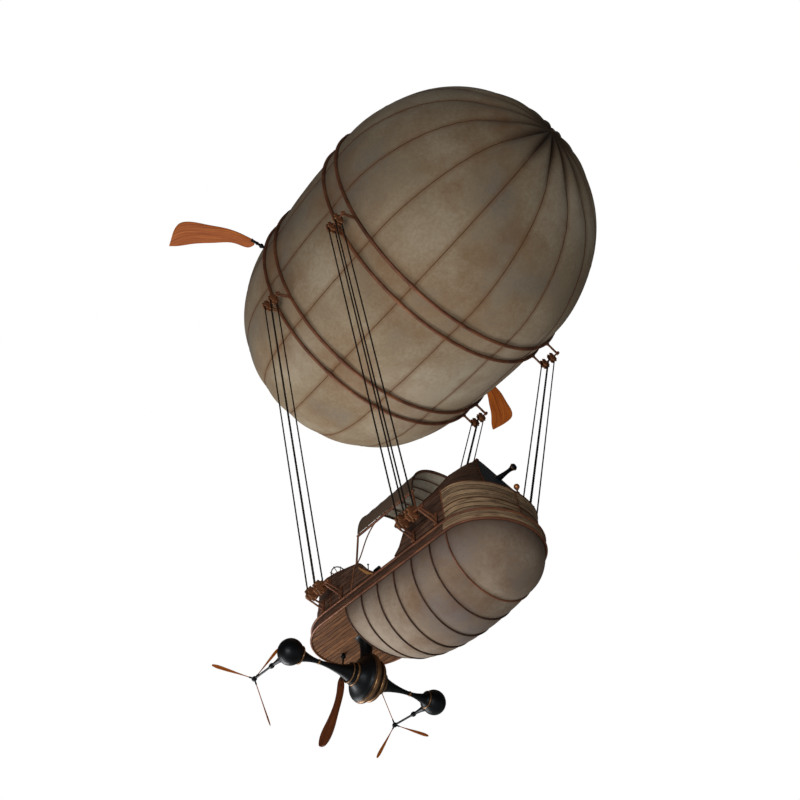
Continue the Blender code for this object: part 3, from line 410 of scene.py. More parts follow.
# Sawn pine, oiled: warm boards under the stern.
STERN_PLANKS = Timber("oiled_pine_boards", Slot.DECK_PLANKS, "#482c19", "#7b5030", "#9b6a40", spread=0.40)
# Turned elm, oiled: red brown cheeks.
BLOCK_WOOD = Timber("oiled_elm", Slot.COPPER, "#472a1b", "#855639", "#a8744d", 0.02, 0.25, 0.15)
# Planed cedar, varnished: orange, with long even grain.
FIN_WOOD = Timber("varnished_cedar", Slot.ORANGE_WOOD, "#74330e", "#a95418", "#c47126", 0.02, 2.2, 0.0, 0.0,
                  0.55, 0.05)
# Planed beech, varnished: the lighter orange of the blades.
BLADE_WOOD = Timber("varnished_beech", Slot.ORANGE_WOOD, "#8a3f10", "#b8611d", "#cf7c33", 0.012, 1.6, 0.0, 0.0,
                    0.5, 0.1)
# Planed mahogany, stained and varnished: dark red brown.
RUDDER_WOOD = Timber("stained_mahogany", Slot.RED_WOOD, "#331506", "#5d2b0e", "#78411b", 0.014, 1.6, 0.05, 0.0,
                     0.5, 0.1)
# Board painted slate blue and worn: grey blue, with the grain just showing.
SLATE_BOARD = Timber("slate_blue_paint", Slot.SLATE, "#23292d", "#343c42", "#465057", spread=0.05, knots=0.2)
# Planed walnut, oiled: dark trim.
TRIM_WOOD = Timber("dark_walnut_trim", Slot.DARK_PLANKS, "#2a170e", "#4c2c1c", "#6e432b", spread=0.1,
                   knots=0.1)
# New pine without oil: the pale patch on the side.
CHEEK_WOOD = Timber("bare_pine_board", Slot.DECK_PLANKS, "#7a4f2b", "#a97745", "#c79a63", spread=0.0)


# Surfaces


@dataclass
class Shape:
    """A surface: its points, its faces and the place of each point in the grain of the finish.

    Attributes:
        points: Places in metres, (n, 3).
        faces: Arrays of point numbers, each (m, corners).
        grain: Metres along the grain, metres across it and the board's number, (n, 3).
        edge: 1 where a board's edge is tarred, or on a sheet's outer side that takes painted shade, and 0
            elsewhere, (n,).
    """

    points: Array
    faces: list[Array]
    grain: Array
    edge: Array

    def outward(self) -> "Shape":
        """Turns the faces out where the volume, the sum of a . (b x c) / 6, is below zero.

        Returns:
            The shape itself.
        """
        volume = 0.0
        for block in self.faces:
            for k in range(1, block.shape[1] - 1):
                a, b, c = self.points[block[:, 0]], self.points[block[:, k]], self.points[block[:, k + 1]]
                volume += float(np.einsum("ij,ij->", a, np.cross(b, c)))
        if volume < 0:
            self.faces = [block[:, ::-1] for block in self.faces]
        return self

    def mirrored(self) -> "Shape":
        """Returns the shape on the other side of the middle plane, y turned to -y."""
        return Shape(self.points * (1, -1, 1), self.faces, self.grain, self.edge).outward()


def turns(count: int) -> Array:
    """Angles of even steps once round, 2 pi i / n."""
    return np.arange(count) * 2 * np.pi / count


def travelled(path: Array) -> Array:
    """Lengths along a line of points, from nought at its start."""
    return np.concatenate([[0.0], np.cumsum(np.linalg.norm(np.diff(path, axis=0), axis=1))])


def grained(along: Array | float, across: Array | float, number: Array | float) -> Array:
    """Lays metres along the grain, metres across it and the board's number side by side over one grid."""
    return np.stack(np.broadcast_arrays(along, across, number), axis=-1)


def round_x(x: float, radius: float, angle: Array) -> Array:
    """Points round X from the lowest, (x, r sin a, -r cos a)."""
    return np.stack([np.full_like(angle, x), radius * np.sin(angle), -radius * np.cos(angle)], axis=-1)


def ring_profile(radius: float, place: float, high: float, wide: float) -> Array:
    """Profile of an oval ring, (r + h cos a, x + w sin a)."""
    angle = turns(12)
    return np.stack([radius + high * np.cos(angle), place + wide * np.sin(angle)], axis=1)


def joined(shapes: Sequence[Shape]) -> Shape:
    """Puts several closed shapes into one.

    Args:
        shapes: The shapes, which stay apart in the mesh.

    Returns:
        One shape that holds them all.
    """
    starts = np.cumsum([0] + [len(s.points) for s in shapes[:-1]])
    faces = [block + start for s, start in zip(shapes, starts) for block in s.faces]
    return Shape(np.vstack([s.points for s in shapes]), faces, np.vstack([s.grain for s in shapes]),
                 np.concatenate([s.edge for s in shapes]))


def lattice(points: Array, grain: Array | None = None, wrap_rows: bool = False, wrap_columns: bool = True,
            capped: bool = True, edge: Array | None = None) -> Shape:
    """Quads over a grid of points, p(i, j) to p(i + 1, j + 1).

    Args:
        points: (rows, columns, 3).
        grain: The same for the finish; the row's and column's numbers where it is left out.
        wrap_rows: Joins the last row to the first.
        wrap_columns: Joins the last column to the first.
        capped: Closes the first and last row by one face each.
        edge: (rows, columns), 1 where a board's edge is tarred or a sheet's outer side takes painted shade;
            nought where it is left out.

    Returns:
        The shape, faces out.
    """
    rows, columns = points.shape[:2]
    index = np.arange(rows * columns).reshape(rows, columns)
    looped = np.vstack([index, index[:1]]) if wrap_rows else index
    looped = np.hstack([looped, looped[:, :1]]) if wrap_columns else looped
    quads = np.stack([looped[:-1, :-1], looped[:-1, 1:], looped[1:, 1:], looped[1:, :-1]], axis=-1)
    faces = [quads.reshape(-1, 4)]
    if capped and wrap_columns and not wrap_rows:
        faces += [index[:1, ::-1], index[-1:]]
    if grain is None:
        grain = np.zeros_like(points)
    if edge is None:
        edge = np.zeros(points.shape[:2])
    return Shape(points.reshape(-1, 3), faces, grain.reshape(-1, 3), edge.ravel()).outward()


def circle(radius: float, sides: int) -> Array:
    """Points (a, b) = r (cos t, sin t) of a round section."""
    turn = turns(sides)
    return radius * np.stack([np.cos(turn), np.sin(turn)], axis=1)


def rounded(width: float, height: float, edge: float) -> Array:
    """Points (a, b) of a rectangular section with cut corners.

    Args:
        width: Its size along a.
        height: Its size along b.
        edge: How much each corner is cut.

    Returns:
        Eight points, (8, 2).
    """
    a, b = width / 2, height / 2
    return np.array([(a, -b + edge), (a, b - edge), (a - edge, b), (-a + edge, b),
                     (-a, b - edge), (-a, -b + edge), (-a + edge, -b), (a - edge, -b)])


def swept(path: Array, section: Array, up: Sequence[float] | Array = (0.0, 0.0, 1.0), closed: bool = False,
          scale: Array | float = 1.0, board: float = 0.0) -> Shape:
    """Carries a closed section along a path: p(i, j) = path(i) + s(i) (a(j) n(i) + b(j) m(i)).

    Here t is the path's direction, m is up made square to t, and n is m x t.

    Args:
        path: (rows, 3).
        section: (columns, 2), or (rows, columns, 2) where it changes.
        up: The direction of b, for the whole path or each row.
        closed: Joins the path's ends.
        scale: The section's scale, for the whole path or each row.
        board: The number that sets the tone.

    Returns:
        The closed shape.
    """
    path = np.asarray(path, float)
    ahead = np.roll(path, -1, axis=0) - np.roll(path, 1, axis=0)
    if not closed:
        ahead[0], ahead[-1] = path[1] - path[0], path[-1] - path[-2]
    ahead /= np.linalg.norm(ahead, axis=1, keepdims=True)
    rise = np.broadcast_to(np.asarray(up, float), path.shape)
    rise = rise - np.sum(rise * ahead, axis=1, keepdims=True) * ahead
    rise = rise / np.linalg.norm(rise, axis=1, keepdims=True)
    side = np.cross(rise, ahead)
    section = np.broadcast_to(section, (len(path),) + section.shape[-2:])
    size = np.broadcast_to(np.asarray(scale, float), (len(path),))[:, None, None]
    points = path[:, None] + size * (section[..., :1] * side[:, None] + section[..., 1:] * rise[:, None])
    grain = grained(travelled(path)[:, None], section[..., 0] + section[..., 1], board)
    return lattice(points, grain, wrap_rows=closed)


def bar(start: Sequence[float], end: Sequence[float], radius: float, sides: int = 12,
        edge: float | None = None) -> Shape:
    """A round bar with cut edges: radii r - e, r, r, r - e at 0, e, 1 - e and 1 along it.

    Args:
        start: One end.
        end: The other end.
        radius: Its radius.
        sides: Faces round it.
        edge: The cut at each end, a fifth of the radius where it is left out.

    Returns:
        The closed shape.
    """
    start, end = np.asarray(start, float), np.asarray(end, float)
    cut = radius / 5 if edge is None else edge
    length = np.linalg.norm(end - start)
    shares = np.array([0.0, cut / length, 1 - cut / length, 1.0])
    line = (end - start) / length
    up = (0.0, 0.0, 1.0) if abs(line[2]) < 0.9 else AHEAD
    return swept(start + shares[:, None] * (end - start), circle(radius, sides), up,
                 scale=np.array([1 - cut / radius, 1.0, 1.0, 1 - cut / radius]))


def turned(profile: Sequence[Sequence[float]] | Array, centre: Sequence[float], axis: str, steps: int = 48,
           looped: bool = False) -> Shape:
    """Turns a profile about an axis: p(i, j) = centre + h(i) axis + r(i) (cos t(j), sin t(j)).

    Args:
        profile: Rows of radius and place along the axis.
        centre: The point of the axis where the place is nought.
        axis: "x", "y" or "z".
        steps: Faces round it.
        looped: The profile is a closed loop, as of a ring.

    Returns:
        The closed shape.
    """
    rows = np.asarray(profile, float)
    first = {"x": (0, 1, 2), "y": (1, 2, 0), "z": (2, 0, 1)}[axis]
    if not looped:
        rows = rows.copy()
        rows[:, 0] = np.maximum(rows[:, 0], 1e-5)
    turn = turns(steps)
    points = np.zeros((len(rows), steps, 3))
    points[..., first[0]] = rows[:, 1:2]
    points[..., first[1]] = rows[:, :1] * np.cos(turn)
    points[..., first[2]] = rows[:, :1] * np.sin(turn)
    grain = grained(rows[:, 1:2], rows[:, :1] * turn, 0.0)
    return lattice(points + np.asarray(centre, float), grain, wrap_rows=looped)


def smooth_line(knots: Sequence[Sequence[float]] | Array, count: int) -> Array:
    """A natural cubic spline through knots over their chord length, read at even steps.

    Args:
        knots: (n, d) points.
        count: How many points to read.

    Returns:
        (count, d) points.
    """
    rows = np.asarray(knots, float)
    place = travelled(rows)
    span = np.linalg.norm(np.diff(rows, axis=0), axis=1)
    last = len(rows) - 1
    inner = np.arange(1, last)
    system = np.eye(last + 1)
    system[inner, inner - 1], system[inner, inner + 1] = span[:-1], span[1:]
    system[inner, inner] = 2 * (span[:-1] + span[1:])
    bend = np.zeros_like(rows)
    slope = np.diff(rows, axis=0) / span[:, None]
    bend[1:-1] = 6 * (slope[1:] - slope[:-1])
    bend = np.linalg.solve(system, bend)
    at = np.linspace(0.0, place[-1], count)
    k = np.clip(np.searchsorted(place, at, "right") - 1, 0, last - 1)
    h = span[k][:, None]
    a = (place[k + 1] - at)[:, None] / h
    b = 1 - a
    return a * rows[k] + b * rows[k + 1] + ((a**3 - a) * bend[k] + (b**3 - b) * bend[k + 1]) * h * h / 6


def straight_line(knots: Sequence[Sequence[float]], step: float) -> Array:
    """Points along straight runs between knots, about a step apart.

    Args:
        knots: The corners of the line.
        step: The distance between points.

    Returns:
        (n, 3) points, the corners among them.
    """
    rows = np.asarray(knots, float)
    runs = []
    for a, b in zip(rows, rows[1:]):
        parts = max(1, round(float(np.linalg.norm(b - a)) / step))
        runs.append(a + np.arange(parts)[:, None] / parts * (b - a))
    return np.vstack(runs + [rows[-1:]])


Skin = Callable[[Array, Array, Array], Array]


def plank(skin: Skin, along: Array, low: Array | float, high: Array | float, depth: float, number: float,
          edge: float = 0.010, lanes: int = 2, closed: bool = False) -> Shape:
    """One board that lies in a skin: its section, with cut outer corners, carried along the board.

    The section runs over v from low to high at depth nought, and back at full depth.

    Args:
        skin: Gives points from places along, places across and depths under the skin.
        along: (rows,) places along the board.
        low: The lower edge, for the board or each row.
        high: The upper edge, for the board or each row.
        depth: The board's thickness.
        number: The board's number, which sets its tone.
        edge: The cut of the outer corners.
        lanes: Faces across the outer side.
        closed: The board runs round into itself.

    Returns:
        The closed shape.
    """
    rows = len(along)
    low = np.broadcast_to(np.asarray(low, float), (rows,))[:, None]
    high = np.broadcast_to(np.asarray(high, float), (rows,))[:, None]
    width = high - low
    cut = np.minimum(edge, width / 3)
    share = np.linspace(0.0, 1.0, lanes + 1)[None, :]
    front = low + cut + share * (width - 2 * cut)
    across = np.hstack([low, front, high, high, low])
    deep = np.hstack([cut, np.zeros((rows, lanes + 1)), cut, np.full((rows, 2), depth)])
    run = np.broadcast_to(along[:, None], across.shape)
    points = skin(run, across, deep)
    grain = grained(travelled(points.mean(axis=1))[:, None], across, number)
    return lattice(points, grain, wrap_rows=closed, edge=(deep > 0).astype(float))


# Putting pieces into the scene


def piece(name: str, shape: Shape, finish: Finish, body: str = MAIN_BODY, replaces: Sequence[str] = (),
          sharp: float = 40.0) -> bpy.types.Object:
    """Makes an object from a shape and lets it ride on a body of the frame.

    Args:
        name: The piece's name.
        shape: Its surface.
        finish: Its material.
        body: The body that carries it.
        replaces: CAD nodes that it stands for.
        sharp: Edges bent by more degrees than this stay sharp.

    Returns:
        The object.
    """
    mesh = bpy.data.meshes.new(name)
    mesh.vertices.add(len(shape.points))
    mesh.vertices.foreach_set("co", shape.points.astype(np.float32).ravel())
    corners = np.concatenate([block.ravel() for block in shape.faces])
    sizes = np.concatenate([np.full(len(block), block.shape[1]) for block in shape.faces])
    mesh.loops.add(len(corners))
    mesh.loops.foreach_set("vertex_index", corners.astype(np.int32))
    mesh.polygons.add(len(sizes))
    mesh.polygons.foreach_set("loop_start", (np.cumsum(sizes) - sizes).astype(np.int32))
    mesh.update(calc_edges=True)
    grain = mesh.attributes.new("grain", "FLOAT_VECTOR", "POINT")
    grain.data.foreach_set("vector", shape.grain.astype(np.float32).ravel())
    edge = mesh.attributes.new("edge", "FLOAT", "POINT")
    edge.data.foreach_set("value", shape.edge.astype(np.float32))
    mesh.materials.append(finish.material())
    mesh.shade_smooth()
    mesh.set_sharp_from_angle(angle=math.radians(sharp))
    made = bpy.data.objects.new(name, mesh)
    bpy.context.scene.collection.objects.link(made)
    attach(made, body)
    if replaces:
        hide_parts(*replaces)
    triangles = int((sizes - 2).sum())
    LOG.info("%-28s %7d triangles, %s, on %s", name, triangles, finish.name, body)
    return made


# Envelope


@dataclass
class Envelope:
    """The gas bag of sixteen gores, its seam cords, its end fittings and its four hoops."""

    fore: Table = ((7.07, 0.30), (7.02, 0.84), (6.91, 1.43), (6.61, 2.20), (6.155, 2.945), (5.60, 3.57),
                   (4.995, 4.055), (4.34, 4.425), (3.63, 4.715), (2.93, 4.885))
    middle: Table = ((2.21, 4.9447), (1.86, 4.955), (1.505, 4.9447), (0.75, 4.975), (0.0, 4.985),
                     (-0.75, 4.975), (-1.505, 4.9447), (-1.86, 4.955), (-2.21, 4.9447))
    aft: Table = ((-2.95, 4.895), (-3.66, 4.765), (-4.37, 4.525), (-5.03, 4.175), (-5.64, 3.70),
                  (-6.20, 3.09), (-6.66, 2.33), (-6.97, 1.50), (-7.09, 0.85), (-7.13, 0.30))
    nose_x: float = 7.08
    tail_x: float = -7.14
    neck: float = 0.10
    neck_length: float = 0.04
    gores: int = 16
    steps: int = 12
    rows: int = 150
    cord: float = 0.010
    hoops: tuple[float, ...] = (2.21, 1.505, -1.505, -2.21)
    hoop_names: tuple[str, ...] = ("fore_outer", "fore_inner", "aft_inner", "aft_outer")
    hoop_radius: float = 4.99
    hoop_bar: float = 0.055

    def meridian(self) -> tuple[Array, Array]:
        """Reads the profile of x and radius evenly, with its outward normal.

        Returns:
            The line, (rows, 2), and the normals, (rows, 2).
        """
        knots = ((self.nose_x, self.neck + 0.02), *self.fore, *self.middle, *self.aft,
                 (self.tail_x, self.neck + 0.02))
        line = smooth_line(knots, self.rows)
        slope = np.gradient(line, axis=0)
        normal = np.stack([slope[:, 1], -slope[:, 0]], axis=1)
        return line, normal / np.linalg.norm(normal, axis=1, keepdims=True)

    def fullness(self, radius: Array) -> Array:
        """Depth of a seam under the gore's crest, 0.035 + 0.20 exp(-((r - 1.4) / 1.1)^2), less at r = 0."""
        deep = 0.035 + 0.20 * np.exp(-(((radius - 1.4) / 1.1) ** 2))
        return np.minimum(deep, 0.25 * radius)

    def gore_surface(self, share: Array, lift: float = 0.0) -> tuple[Array, Array]:
        """Points of the skin: the meridian, sunk along its normal by d(r) (1 - 2 t)^2 towards the seams.

        Args:
            share: (columns,) places round the bag in gores, whole at the seams.
            lift: How far the points stand over the skin.

        Returns:
            Points (rows, columns, 3) and the grain's coordinates.
        """
        line, normal = self.meridian()
        radius = line[:, 1:]
        part = share - np.floor(share)
        by_seam = np.minimum(part, 1 - part)[None, :]
        depth = lift - self.fullness(radius) * (1 - 2 * part)[None, :] ** 2
        pucker = 0.006 * np.sin(2 * np.pi * line[:, :1] / 0.37 + 2.1 * np.floor(share)[None, :])
        depth = depth + pucker * np.exp(-by_seam / 0.10) * (radius > 1.0)
        x = line[:, :1] + normal[:, :1] * depth
        out = radius + normal[:, 1:] * depth
        angle = share[None, :] * 2 * np.pi / self.gores
        points = np.stack([x, out * np.sin(angle), -out * np.cos(angle)], axis=-1)
        gap = by_seam * 2 * np.pi * radius / self.gores
        return points, grained(travelled(line)[:, None], gap, radius)

    def skin(self) -> Shape:
        """The canvas from the nose's neck to the tail's, with a neck at each end.

        Returns:
            The bag.
        """
        share = np.arange(self.gores * self.steps) / self.steps
        points, grain = self.gore_surface(share)
        angle = share * 2 * np.pi / self.gores
        lip, neck = self.neck_length, self.neck
        ahead = [round_x(self.nose_x + lip, radius, angle) for radius in (neck - 0.02, neck)]
        astern = [round_x(self.tail_x - lip + inside, radius, angle)
                  for inside, radius in ((0.0, neck), (0.0, neck - 0.01), (0.3, neck - 0.01))]
        points = np.concatenate([np.stack(ahead), points, np.stack(astern)])
        grain = np.concatenate([grain[:1].repeat(2, 0), grain, grain[-1:].repeat(3, 0)])
        return lattice(points, grain)

    def seams(self) -> Shape:
        """A cord along each seam, half sunk in the cloth.

        Returns:
            The cords.
        """
        points, _ = self.gore_surface(np.arange(self.gores, dtype=float), 0.004)
        paths = [points[2:-2, k] for k in range(self.gores)]
        return joined([swept(path, circle(self.cord, 8), path * (0, 1, 1) + (1e-6, 0, 0)) for path in paths])

    def hoop(self, x: float) -> Shape:
        """A round bar bent about X: ring radius R, bar radius r."""
        path = round_x(x, self.hoop_radius, turns(160))
        return swept(path, circle(self.hoop_bar, 12), AHEAD, closed=True)

    def hoop_sleeves(self) -> Shape:
        """Short sleeves over the joints of each hoop's four lengths of tube.

        Returns:
            The sleeves.
        """
        swell = np.array([0.88, 1, 1, 0.94, 1, 1, 0.88])
        sleeves = []
        for x in self.hoops:
            for joint in np.radians(67.5 + 90 * np.arange(4)):
                path = round_x(x, self.hoop_radius, joint + np.linspace(-0.03, 0.03, 7))
                sleeves.append(swept(path, circle(self.hoop_bar + 0.011, 12), AHEAD, scale=swell))
        return joined(sleeves)

    def build(self) -> None:
        """Makes the pieces of the bag and its hoops."""
        skin = piece("envelope_canvas", self.skin(), GASBAG, replaces=["envelope"], sharp=80)
        piece("envelope_seams", self.seams(), SEAM_CORD)
        end = self.nose_x + self.neck_length + 0.0003
        knob = [(0.0, 0.0), (0.12, 0.0), (0.13, 0.008), (0.13, 0.02), (0.11, 0.03), (0.075, 0.034),
                (0.07, 0.046), (0.06, 0.05), (0.0, 0.05)]
        piece("nose_plate", turned(knob, (end, 0, 0), "x", 40), BAND_BRONZE, replaces=["nose_cap"])
        inner, outer = self.neck + 0.002, self.neck + 0.06
        ring = [(inner, 0.02), (outer - 0.012, 0.02), (outer, 0.01), (outer, -0.01), (outer - 0.012, -0.02),
                (inner, -0.02)]
        collar = turned(ring, (self.tail_x - self.neck_length, 0, 0), "x", 40, looped=True)
        piece("tail_collar", collar, BRONZED, replaces=["tail_ring"])
        for x, name in zip(self.hoops, self.hoop_names):
            piece(f"hoop_tube_{name}", self.hoop(x), BRONZED, replaces=[f"hoop_{name}"])
        piece("hoop_sleeves", self.hoop_sleeves(), BRONZED)


# Suspension


@dataclass
class Suspension:
    """Blocks, brackets and ropes between the hoops and the hull."""

    upper_x: tuple[float, float] = (1.95, 1.60)
    lower_x: tuple[float, float] = (1.79, 1.435)
    upper_shift: float = -3.715
    lower_shift: float = -3.775
    arm_x: tuple[float, float] = (2.10, 1.285)
    hoop_x: tuple[float, ...] = (2.21, 1.505, -1.505, -2.21)
    upper: tuple[float, float] = (4.54, -3.1125)
    lower: tuple[float, float] = (1.82, -12.86)
    foot_angle: float = 35.4
    rope: float = 0.0225
    lay: float = 0.36
    turn: float = 0.125
    cheek: float = 0.19
    rail_y: float = 1.365
    stub_foot: float = -13.1607
    stub_top: float = -12.82
    arm_heights: tuple[float, float] = (-12.94, -13.08)
    arm_rise: float = 0.6

    def axes(self, side: int) -> tuple[Array, Array]:
        """The directions at one side's ropes.

        Args:
            side: -1 to starboard, 1 to port.

        Returns:
            The direction across a rope's two runs and the direction up along them.
        """
        up = np.array([0.0, side * (self.upper[0] - self.lower[0]), self.upper[1] - self.lower[1]])
        up /= np.linalg.norm(up)
        return np.array([0.0, up[2], -up[1]]), up

    def rope_shape(self, upper_x: float, lower_x: float, side: int) -> Shape:
        """A laid rope round both sheaves, r = r0 (0.93 + 0.11 cos 3 (t - 2 pi s / lay)).

        Args:
            upper_x: The upper sheave's place along the ship.
            lower_x: The lower sheave's.
            side: -1 to starboard, 1 to port.

        Returns:
            The closed rope.
        """
        across, up = self.axes(side)
        knots = []
        for x, (y, z), start in ((upper_x, self.upper, 0.0), (lower_x, self.lower, math.pi)):
            angle = start + np.linspace(0, math.pi, 13)
            centre = np.array([x, side * y, z])
            flat = np.cos(angle)[:, None] * across + np.sin(angle)[:, None] * up
            knots += list(centre + self.turn * flat)
        path = straight_line(knots + [knots[0]], 0.04)[:-1]
        angle = turns(9)
        phase = 3 * (angle[None, :] - 2 * np.pi * travelled(path)[:, None] / self.lay)
        radius = self.rope * (0.93 + 0.11 * np.cos(phase))
        section = radius[..., None] * np.stack([np.cos(angle), np.sin(angle)], axis=-1)[None]
        return swept(path, section, AHEAD, closed=True)

    def cheek_plate(self, centre: Array, low: float, high: float, across: Array, up: Array) -> Shape:
        """A notched octagonal cheek, p = centre + r(a) (cos a across + sin a up), with cut edges.

        Args:
            centre: The middle of the axle.
            low: Where it starts along X.
            high: Where it ends.
            across: The direction across the rope's runs.
            up: The direction along them.

        Returns:
            The closed shape.
        """
        angle = turns(48)
        eighth = (angle + math.pi / 8) % (math.pi / 4) - math.pi / 8
        radius = self.cheek * math.cos(math.pi / 8) / np.cos(eighth)
        quarter = np.abs((angle + math.pi / 4) % (math.pi / 2) - math.pi / 4)
        radius = np.where(quarter < math.radians(9), radius * 0.86, radius)
        rows = []
        for shift, size in ((low, 0.90), (low + 0.008, 1.0), (high - 0.008, 1.0), (high, 0.90)):
            flat = size * radius[:, None] * (np.cos(angle)[:, None] * across + np.sin(angle)[:, None] * up)
            rows.append(centre + flat + (shift, 0, 0))
        points = np.stack(rows)
        return lattice(points, grained((points - centre) @ across, (points - centre) @ up, centre[0] + low))

    def block(self, x: float, side: int, place: tuple[float, float]) -> list[Shape]:
        """One block: a cheek at each side and a sheave with a groove.

        Args:
            x: Its place along the ship.
            side: -1 to starboard, 1 to port.
            place: Its y, to port, and z.

        Returns:
            The cheeks and the sheave.
        """
        across, up = self.axes(side)
        centre = np.array([0.0, side * place[0], place[1]])
        half = 0.031
        cheeks = []
        for face in (-1, 1):
            near, far = sorted((x + face * half, x + face * (half + 0.045)))
            cheeks.append(self.cheek_plate(centre, near, far, across, up))
        groove = [(0.0, -0.030), (0.118, -0.030), (0.118, -0.024), (0.102, -0.012), (0.102, 0.012),
                  (0.118, 0.024), (0.118, 0.030), (0.0, 0.030)]
        cheeks.append(turned(groove, centre + (x, 0, 0), "x", 32))
        return cheeks

    def nut(self, x: float, y: float, z: float, way: int) -> Shape:
        """A hexagonal nut with a washer on an axle's end."""
        return joined([bar((x, y, z), (x + way * 0.012, y, z), 0.062, 20, 0.004),
                       bar((x + way * 0.012, y, z), (x + way * 0.052, y, z), 0.048, 6, 0.008)])

    def group(self, end: int, side: int) -> None:
        """The pieces of one corner: an upper bracket, a lower bracket and two ropes.

        Args:
            end: 1 at the fore hoops, -1 at the aft ones.
            side: -1 to starboard, 1 to port.
        """
        uppers = [x + (0.0 if end > 0 else self.upper_shift) for x in self.upper_x]
        lowers = [x + (0.0 if end > 0 else self.lower_shift) for x in self.lower_x]
        arms = [x + (0.0 if end > 0 else self.lower_shift) for x in self.arm_x]
        hoops = [x for x in self.hoop_x if x * end > 0]
        label = f"{'fore' if end > 0 else 'aft'}_{SIDE_NAME[side]}"
        y, z = side * self.upper[0], self.upper[1]
        lean = math.radians(self.foot_angle)
        out = np.array([0.0, side * math.cos(lean), -math.sin(lean)])
        along = np.array([0.0, -out[2], out[1]])
        rods = []
        for x in hoops:
            axle, hoop = np.array([x, y, z]), np.array([x, 0.0, 0.0])
            for shift in (-0.042 * along, 0.042 * along):
                rods.append(bar(hoop + out * 5.035 + shift, axle + out * 0.045 + shift, 0.022, 10))
            rods.append(bar(axle - along * 0.075 + out * 0.03, axle + along * 0.075 + out * 0.03, 0.030, 10))
            rods.append(bar(hoop + out * 5.05 - along * 0.09, hoop + out * 5.05 + along * 0.09, 0.034, 10))
        rods.append(bar((min(hoops) - 0.05, y, z), (max(hoops) + 0.05, y, z), 0.03, 16))
        rods += [self.nut(max(hoops) + 0.03, y, z, 1), self.nut(min(hoops) - 0.03, y, z, -1)]
        piece(f"upper_rods_{label}", joined(rods), BRONZED, replaces=[f"upper_bracket_{label}"])
        blocks = sum([self.block(x, side, self.upper) for x in uppers], [])
        piece(f"upper_blocks_{label}", joined(blocks), BLOCK_WOOD)
        y, z = side * self.lower[0], self.lower[1]
        rail = side * self.rail_y
        frame = [bar((min(arms) - 0.05, y, z), (max(arms) + 0.05, y, z), 0.03, 16),
                 self.nut(max(arms) + 0.05, y, z, 1), self.nut(min(arms) - 0.05, y, z, -1)]
        for x in arms:
            frame.append(bar((x, rail, self.stub_foot), (x, rail, self.stub_top), 0.030, 12))
            frame.append(bar((x, rail, self.stub_foot), (x, rail, self.stub_foot + 0.03), 0.055, 16))
            for high in self.arm_heights:
                tip = (x, y + side * 0.05, z + (high - self.arm_heights[0]) * self.arm_rise)
                frame.append(bar((x, rail, high), tip, 0.025, 12))
        piece(f"lower_arms_{label}", joined(frame), BRONZED, replaces=[f"lower_bracket_{label}"])
        blocks = sum([self.block(x, side, self.lower) for x in lowers], [])
        piece(f"lower_blocks_{label}", joined(blocks), BLOCK_WOOD)
        for high, low, which in zip(uppers, lowers, ("a", "b")):
            piece(f"stay_{which}_{label}", self.rope_shape(high, low, side), ROPE_TAR,
                  replaces=[f"rope_{which}_{label}"])

    def build(self) -> None:
        """Makes all four corners."""
        for end in (1, -1):
            for side in SIDES:
                self.group(end, side)


# Hull


